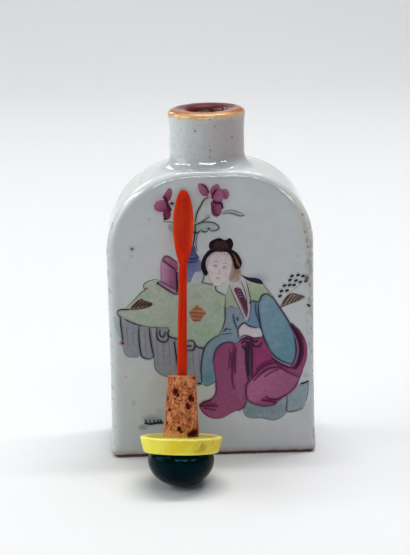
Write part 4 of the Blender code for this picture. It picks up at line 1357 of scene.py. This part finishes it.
# %% Dome rule
# The rule runs this much faster than the grid, and what is left of the grid makes the shoulder
haste = 1.35
dome = bpy.data.node_groups.new("turned_dome", "GeometryNodeTree")
size = sizes(dome, Radius=6.46, Dome=5.2, Power=1.8, Shoulder=1.5, Draw_In=0.6)
grid = Wire.node(dome, "GeometryNodeMeshGrid", None, {"Size X": 1.0, "Size Y": 1.0, "Vertices X": 49,
    "Vertices Y": 129})
spot = Wire.node(dome, "GeometryNodeInputPosition")
down, round_about = spot.part("X") + 0.5, (spot.part("Y") + 0.5) * (2 * math.pi)
quarter = down.maths("MULTIPLY", haste).maths("MINIMUM", 1.0) * (math.pi / 2)
late = ((down - 1 / haste) / (0.98 - 1 / haste)).maths("MAXIMUM", 0.0).maths("MINIMUM", 1.0) * (math.pi / 2)
power = 2 / size["Power"]
radius = size["Radius"] * quarter.maths("SINE") ** power - size["Draw_In"] * (1 - late.maths("COSINE"))
radius = radius * down.maths("LESS_THAN", 0.995)
fall = quarter.maths("COSINE").maths("MAXIMUM", 0.0) ** power
height = size["Dome"] * (1 - fall) + size["Shoulder"] * late.maths("SINE")
across, deep = radius * round_about.maths("COSINE"), radius * round_about.maths("SINE")
turned = radius.more("ShaderNodeCombineXYZ", None, {0: across, 1: deep, 2: height})
shaped = turned.more("GeometryNodeSetPosition", None, {"Geometry": grid, "Position": turned})
closed = shaped.more("GeometryNodeMergeByDistance", None, {"Geometry": shaped, "Distance": 1e-4})
close_tree(dome, closed, dark_glass)


def outward(mesh):
    """Turns every face outwards."""
    shape = bmesh.new()
    shape.from_mesh(mesh)
    bmesh.ops.remove_doubles(shape, verts=shape.verts, dist=1e-4)
    bmesh.ops.recalc_face_normals(shape, faces=shape.faces)
    print(mesh.name, sum(not edge.is_manifold for edge in shape.edges), "open edges")
    shape.to_mesh(mesh)
    shape.free()
    return mesh


cap_mesh = grown("cap", dome, bpy.data.meshes.new("cap"), Radius=6.46, Dome=5.2, Power=1.92)
settle(outward(cap_mesh), "glass_cap", dark_glass, at_stopper, "stopper_cap")

# %% [markdown]
# ## Collar
# A disc of opaque yellow that spreads upwards. Its upper rim is worn and chipped, and its front has a
# brown stain. It is turned from a profile, then its rim is nibbled with noise.

# %% Turning and reshaping
def turned_mesh(name, profile, count):
    """A closed mesh turned about the axis from (radius, height) points, fine enough to be reshaped."""
    skin = Skin()
    around = np.arange(count) * 2 * math.pi / count
    x, y = np.cos(around), np.sin(around)
    loops = [np.stack([radius * x, radius * y, np.full(count, z)], axis=1) for radius, z in profile]
    skin.rings(loops)
    skin.add(loops[0], [tuple(range(count))])
    skin.add(loops[-1], [tuple(range(count))])
    return skin.mesh(name)


def reshape(mesh, rule):
    """Moves every point of a mesh by a rule on all its points at once."""
    spots = np.empty(len(mesh.vertices) * 3)
    mesh.vertices.foreach_get("co", spots)
    mesh.vertices.foreach_set("co", rule(spots.reshape(-1, 3)).ravel())
    mesh.update()


def lumps(points, scale, seed):
    """Smooth noise from -1 to 1 at many points."""
    return np.array([noise.noise(Vector(p) * scale + Vector((seed, 0, 0))) for p in points])


def profile_through(corners, spacing):
    """Points along straight runs between corners of a profile."""
    made = []
    for near, far in zip(corners, corners[1:]):
        steps = max(1, round(math.dist(near, far) / spacing))
        made += [tuple(a + (b - a) * i / steps for a, b in zip(near, far)) for i in range(steps)]
    return made + [corners[-1]]


# %% Collar
collar_corners = [(0.8, 6.72), (6.95, 6.72), (7.2, 6.82), (7.36, 7.05), (7.96, 9.35), (7.98, 9.6),
    (7.86, 9.75), (7.6, 9.8), (7.0, 9.78), (2.6, 9.74), (0.8, 9.74)]
collar_mesh = turned_mesh("collar", profile_through(collar_corners, 0.16), 240)


def nibbled(points):
    radius = np.hypot(points[:, 0], points[:, 1])
    rim = np.clip((radius - 7.0) / 0.6, 0, 1) * np.clip((points[:, 2] - 8.9) / 0.8, 0, 1)
    coarse = np.clip(lumps(points, 0.55, 3.0) - 0.22, 0, 1)
    chips = coarse * 0.8 + np.clip(lumps(points, 2.4, 7.0), 0, 1) * 0.12
    soft = 1 + 0.004 * lumps(points, 0.4, 1.0)
    points = points * np.stack([soft, soft, np.ones(len(points))], axis=1)
    points[:, :2] *= 1 - (rim * chips * 0.09)[:, None]
    points[:, 2] -= rim * chips * 0.5
    return points


reshape(collar_mesh, nibbled)

# %% Yellow
yellow, tree, shader, place = finish("yellow_glass")
cloudy = place.noise(0.28, 3)
fine = place.noise(2.2, 3)
colour = cloudy.ramp(0.35, 0.68).blend(flat((0.90, 0.73, 0.03)), flat((0.93, 0.84, 0.09)))
# Painted shade: the collar's right side is darker and browner.
side = place.part("X").ramp(0.0, 6.5)
colour = overlay(colour, side * 0.6, 0.78, 0.55, 0.035)
stain = place.reach((3.6, -6.9, 8.2)).ramp(2.1, 0.4) * place.noise(0.9, 3).ramp(0.4, 0.6)
colour = overlay(colour, stain * 0.6, 0.42, 0.24, 0.03)
# The rim is paler: partly its chips, partly a painted highlight along its edge.
chipped_rim_and_highlight = place.part("Z").ramp(9.3, 9.7) * place.reach((0, 0, 0)).ramp(10.5, 12.2)
colour = overlay(colour, chipped_rim_and_highlight * 0.5, 0.95, 0.90, 0.30)
# Painted shadow of the cork, with some grime, darkens the top round its foot.
round_cork = place.part("Z").ramp(9.6, 9.72) * place.reach((0, 0, 9.8)).ramp(7.3, 6.4)
cork_shadow_and_grime = round_cork * (cloudy.ramp(0.3, 0.6) * 0.4 + 0.45)
colour = overlay(colour, cork_shadow_and_grime, 0.36, 0.30, 0.04)
foot_light = place.part("Z").ramp(7.3, 6.9)
colour = overlay(colour, foot_light * 0.45, 0.93, 0.86, 0.16)
dirt = place.noise(1.4, 4).ramp(0.6, 0.72) * 0.35
colour = overlay(colour, dirt, 0.34, 0.27, 0.04)
connect(colour, shader.inputs["Base Color"])
connect(fine * 0.2 + 0.28, shader.inputs["Roughness"])
shader.inputs["Specular IOR Level"].default_value = 0.2
shader.inputs["Subsurface Weight"].default_value = 0.15
shader.inputs["Subsurface Radius"].default_value = (0.002, 0.0015, 0.0004)
worn = place.noise(0.8, 3) * 0.6 + fine * 0.4
roughened(tree, shader, 0.35, 0.0003, worn)
settle(collar_mesh, "yellow_collar", yellow, at_stopper, "stopper_collar", 40)

# %% [markdown]
# ## Cork
# Cork is bark. Pores run through it, and where the knife cut them open they are dark pits, some
# small and some torn out. A tree of nodes bites the pits into the plug and keeps how deep each
# point lies as pore, so that the finish can darken it: dark red-brown in the pits, and painted
# shade near black deeper in.

# %% Cork
def cork_radius(z):
    return 3.5 - 0.75 * (z - 10.1) / 11.5


cork_corners = [(0.5, 9.76), (3.5, 9.76), (cork_radius(21.42), 21.42), (cork_radius(21.6) - 0.18, 21.6)]
cork_corners.append((0.5, 21.6))
plug = turned_mesh("cork", profile_through(cork_corners, 0.1), 230)
# Each torn pore: its turn round the plug (0 is the front), height, size and depth
big_pores = [(-27, 18.5, 0.62, 0.7), (-17, 17.9, 0.36, 0.4), (36, 17.3, 0.62, 0.6), (46, 17.0, 0.4, 0.5),
    (24, 15.7, 0.5, 0.6), (19, 16.1, 0.3, 0.4), (-9, 11.4, 0.42, 0.5), (-4, 10.9, 0.24, 0.3),
    (46, 10.5, 0.8, 0.9), (28, 10.3, 0.5, 0.7), (37, 10.4, 0.6, 0.8), (62, 10.6, 0.7, 0.7),
    (58, 21.2, 0.34, 0.4), (-50, 15.0, 0.3, 0.3), (-66, 17.0, 0.4, 0.4), (-62, 12.4, 0.34, 0.4),
    (118, 17.0, 0.5, 0.5), (170, 13.6, 0.6, 0.6), (-120, 18.6, 0.4, 0.4), (-150, 14.0, 0.4, 0.4),
    (200, 19.8, 0.35, 0.35)]
pits = np.zeros(len(plug.vertices))


def torn(points):
    radius = np.hypot(points[:, 0], points[:, 1])
    ragged = 1 + 0.35 * lumps(points, 3.0, 5.0)
    for turn, high, size_of, depth in big_pores:
        angle = math.radians(turn)
        centre = cork_radius(high) * math.sin(angle), -cork_radius(high) * math.cos(angle), high
        gap = np.linalg.norm((points - centre) * (1, 1, 0.85), axis=1) / (size_of * ragged)
        bite = np.clip(1.2 - gap, 0, 1) ** 0.6
        pits[:] = np.maximum(pits, bite)
        drawn_in = 1 - bite * depth * 0.55 / np.maximum(radius, 1)
        points = points * np.stack([drawn_in, drawn_in, np.ones(len(points))], axis=1)
    points[:, 2] = np.where(points[:, 2] > 21.3, points[:, 2] + 0.06 * lumps(points, 1.2, 9.0), points[:, 2])
    return points


reshape(plug, torn)
plug.attributes.new("torn", "FLOAT", "POINT").data.foreach_set("value", pits)

# %% Bark
bark, tree, shader, place = finish("cork_bark")
pore = Wire.node(tree, "ShaderNodeAttribute", {"attribute_name": "pore"}, output="Fac")
grain = place.noise(2.6, 4, (1, 1, 1.6))
fibre = place.noise(1.1, 3, (1, 1, 0.5))
colour = grain.ramp(0.36, 0.66).blend(flat((0.25, 0.045, 0.014)), flat((0.70, 0.24, 0.088)))
colour = overlay(colour, fibre.ramp(0.42, 0.68) * 0.6, 0.80, 0.36, 0.16)
colour = overlay(colour, place.noise(1.7, 4).ramp(0.5, 0.66) * 0.75, 0.20, 0.038, 0.012)
colour = overlay(colour, place.part("Z").ramp(12.0, 10.0) * 0.5, 0.76, 0.40, 0.12)
# The pits are dark red-brown; deeper in, painted shade makes them near black.
colour = overlay(colour, pore.ramp(0.02, 0.35) * 0.85, 0.20, 0.028, 0.012)
colour = overlay(colour, pore.ramp(0.35, 0.85), 0.035, 0.002, 0.001)
connect(colour, shader.inputs["Base Color"])
connect(grain * 0.2 + 0.72, shader.inputs["Roughness"])
shader.inputs["Specular IOR Level"].default_value = 0.1
rough = grain * 0.6 + place.noise(6.0, 3) * 0.4
roughened(tree, shader, 0.7, 0.0003, rough)

# %% Pores
bitten = bpy.data.node_groups.new("bark_pores", "GeometryNodeTree")
size = sizes(bitten, Pore_Spacing=0.75, Pore_Depth=0.22, Share_Open=0.36, Grain_Depth=0.05)
spot = Wire.node(bitten, "GeometryNodeInputPosition")
cells = {"Vector": spot, "Scale": 1 / size["Pore_Spacing"]}
nearness = Wire.node(bitten, "ShaderNodeTexVoronoi", {"feature": "F1"}, cells, "Distance")
drawn = Wire.node(bitten, "ShaderNodeTexVoronoi", {"feature": "F1"}, cells, "Color")
chosen = drawn.part("X").maths("LESS_THAN", size["Share_Open"])
ragged = spot.noise(4.0, 2)
pit = (nearness + ragged * 0.25).ramp(0.46, 0.24) * chosen
torn_out = Wire.node(bitten, "GeometryNodeInputNamedAttribute", {"data_type": "FLOAT"}, {"Name": "torn"})
depth = pit.maths("MAXIMUM", torn_out)
normal = Wire.node(bitten, "GeometryNodeInputNormal")
inwards = 0 - (pit * size["Pore_Depth"] + spot.noise(3.5, 4) * size["Grain_Depth"])
push = inwards.more("ShaderNodeVectorMath", {"operation": "SCALE"}, {0: normal, "Scale": inwards})
moved = push.more("GeometryNodeSetPosition", None, {"Geometry": size["Geometry"], "Offset": push})
kept = moved.more("GeometryNodeStoreNamedAttribute", {"data_type": "FLOAT", "domain": "POINT"},
    {"Geometry": moved, "Name": "pore", "Value": depth})
close_tree(bitten, kept, bark)
cork_mesh = grown("cork", bitten, plug, Pore_Spacing=0.75, Pore_Depth=0.2)
settle(cork_mesh, "cork_plug", bark, at_stopper, "stopper_cork", 70)

# %% [markdown]
# ## Spoon
# A snuff spoon was cut from bone and stained orange red. Its round stem flattens into a long
# leaf, dished to lift a pinch of snuff. Rings follow the same rule for its width as the solid does.

# %% Spoon
def leaf_width(share):
    leaf = 2.0 * math.sin(math.pi * share ** 1.16) ** 0.42
    stem = 0.78 * max(0.0, 1.0 - share / 0.2)
    return (leaf ** 4 + stem ** 4) ** 0.25


spoon = Skin()
spoon_facets = 40
around = np.arange(spoon_facets) * 2 * math.pi / spoon_facets


def spoon_ring(z, half_x, half_y, dish):
    across, deep = np.cos(around), half_y * np.sin(around)
    deep = deep + dish * (1 - across ** 2)
    return np.stack([half_x * across, deep, np.full(spoon_facets, z)], axis=1)


loops = [spoon_ring(z, 0.95, 0.95, 0.0) for z in (17.9, 19.8, 21.6)]
for share in np.linspace(0.02, 1, 50):
    half = 0.95 - 0.17 * share
    loops.append(spoon_ring(21.6 + 21 * share, half, half, 0.0))
for i in range(1, 90):
    share = (1 - math.cos(math.pi * i / 90)) / 2
    thin = min(1.0, share / 0.25)
    half_y = (0.78 - 0.33 * thin) * math.sqrt(min(1.0, (1 - share) / 0.1))
    dish = 0.35 * min(1.0, share / 0.25, (1 - share) / 0.25)
    loops.append(spoon_ring(42.6 + 15 * share, leaf_width(share), half_y, dish))
spoon.rings(loops)
spoon.add(loops[0], [tuple(range(spoon_facets))])
spoon.add(loops[-1], [tuple(range(spoon_facets))])
spoon_mesh = spoon.mesh("spoon")


def hand_cut(points):
    sway = [0.03 * lumps(points, 0.5, 2.0), 0.025 * lumps(points, 0.6, 4.0), np.zeros(len(points))]
    return points + np.stack(sway, axis=1)


reshape(spoon_mesh, hand_cut)

# %% Bone
bone, tree, shader, place = finish("stained_bone")
fibre = place.noise(0.9, 4, (1.6, 1.6, 0.16))
patch_of = place.noise(0.16, 2)
colour = fibre.ramp(0.3, 0.7).blend(flat((0.52, 0.010, 0.0)), flat((0.66, 0.028, 0.001)))
leafward = place.part("Z").ramp(43.0, 48.0)
# Painted light: the leaf's rims are lighter, where they catch the light.
edge = place.part("X").maths("ABSOLUTE").ramp(0.9, 1.9) * leafward
colour = overlay(colour, edge * 0.6, 0.90, 0.09, 0.006)
worn = patch_of.ramp(0.48, 0.66) * 0.5
colour = overlay(colour, worn, 0.50, 0.030, 0.001)
colour = overlay(colour, place.part("Z").ramp(24.0, 21.6) * 0.5, 0.50, 0.02, 0.001)
connect(colour, shader.inputs["Base Color"])
connect(fibre * 0.15 + 0.34, shader.inputs["Roughness"])
shader.inputs["Specular IOR Level"].default_value = 0.03
roughened(tree, shader, 0.3, 0.0002, fibre)
settle(spoon_mesh, "bone_spoon", bone, at_stopper, "spoon", 60)
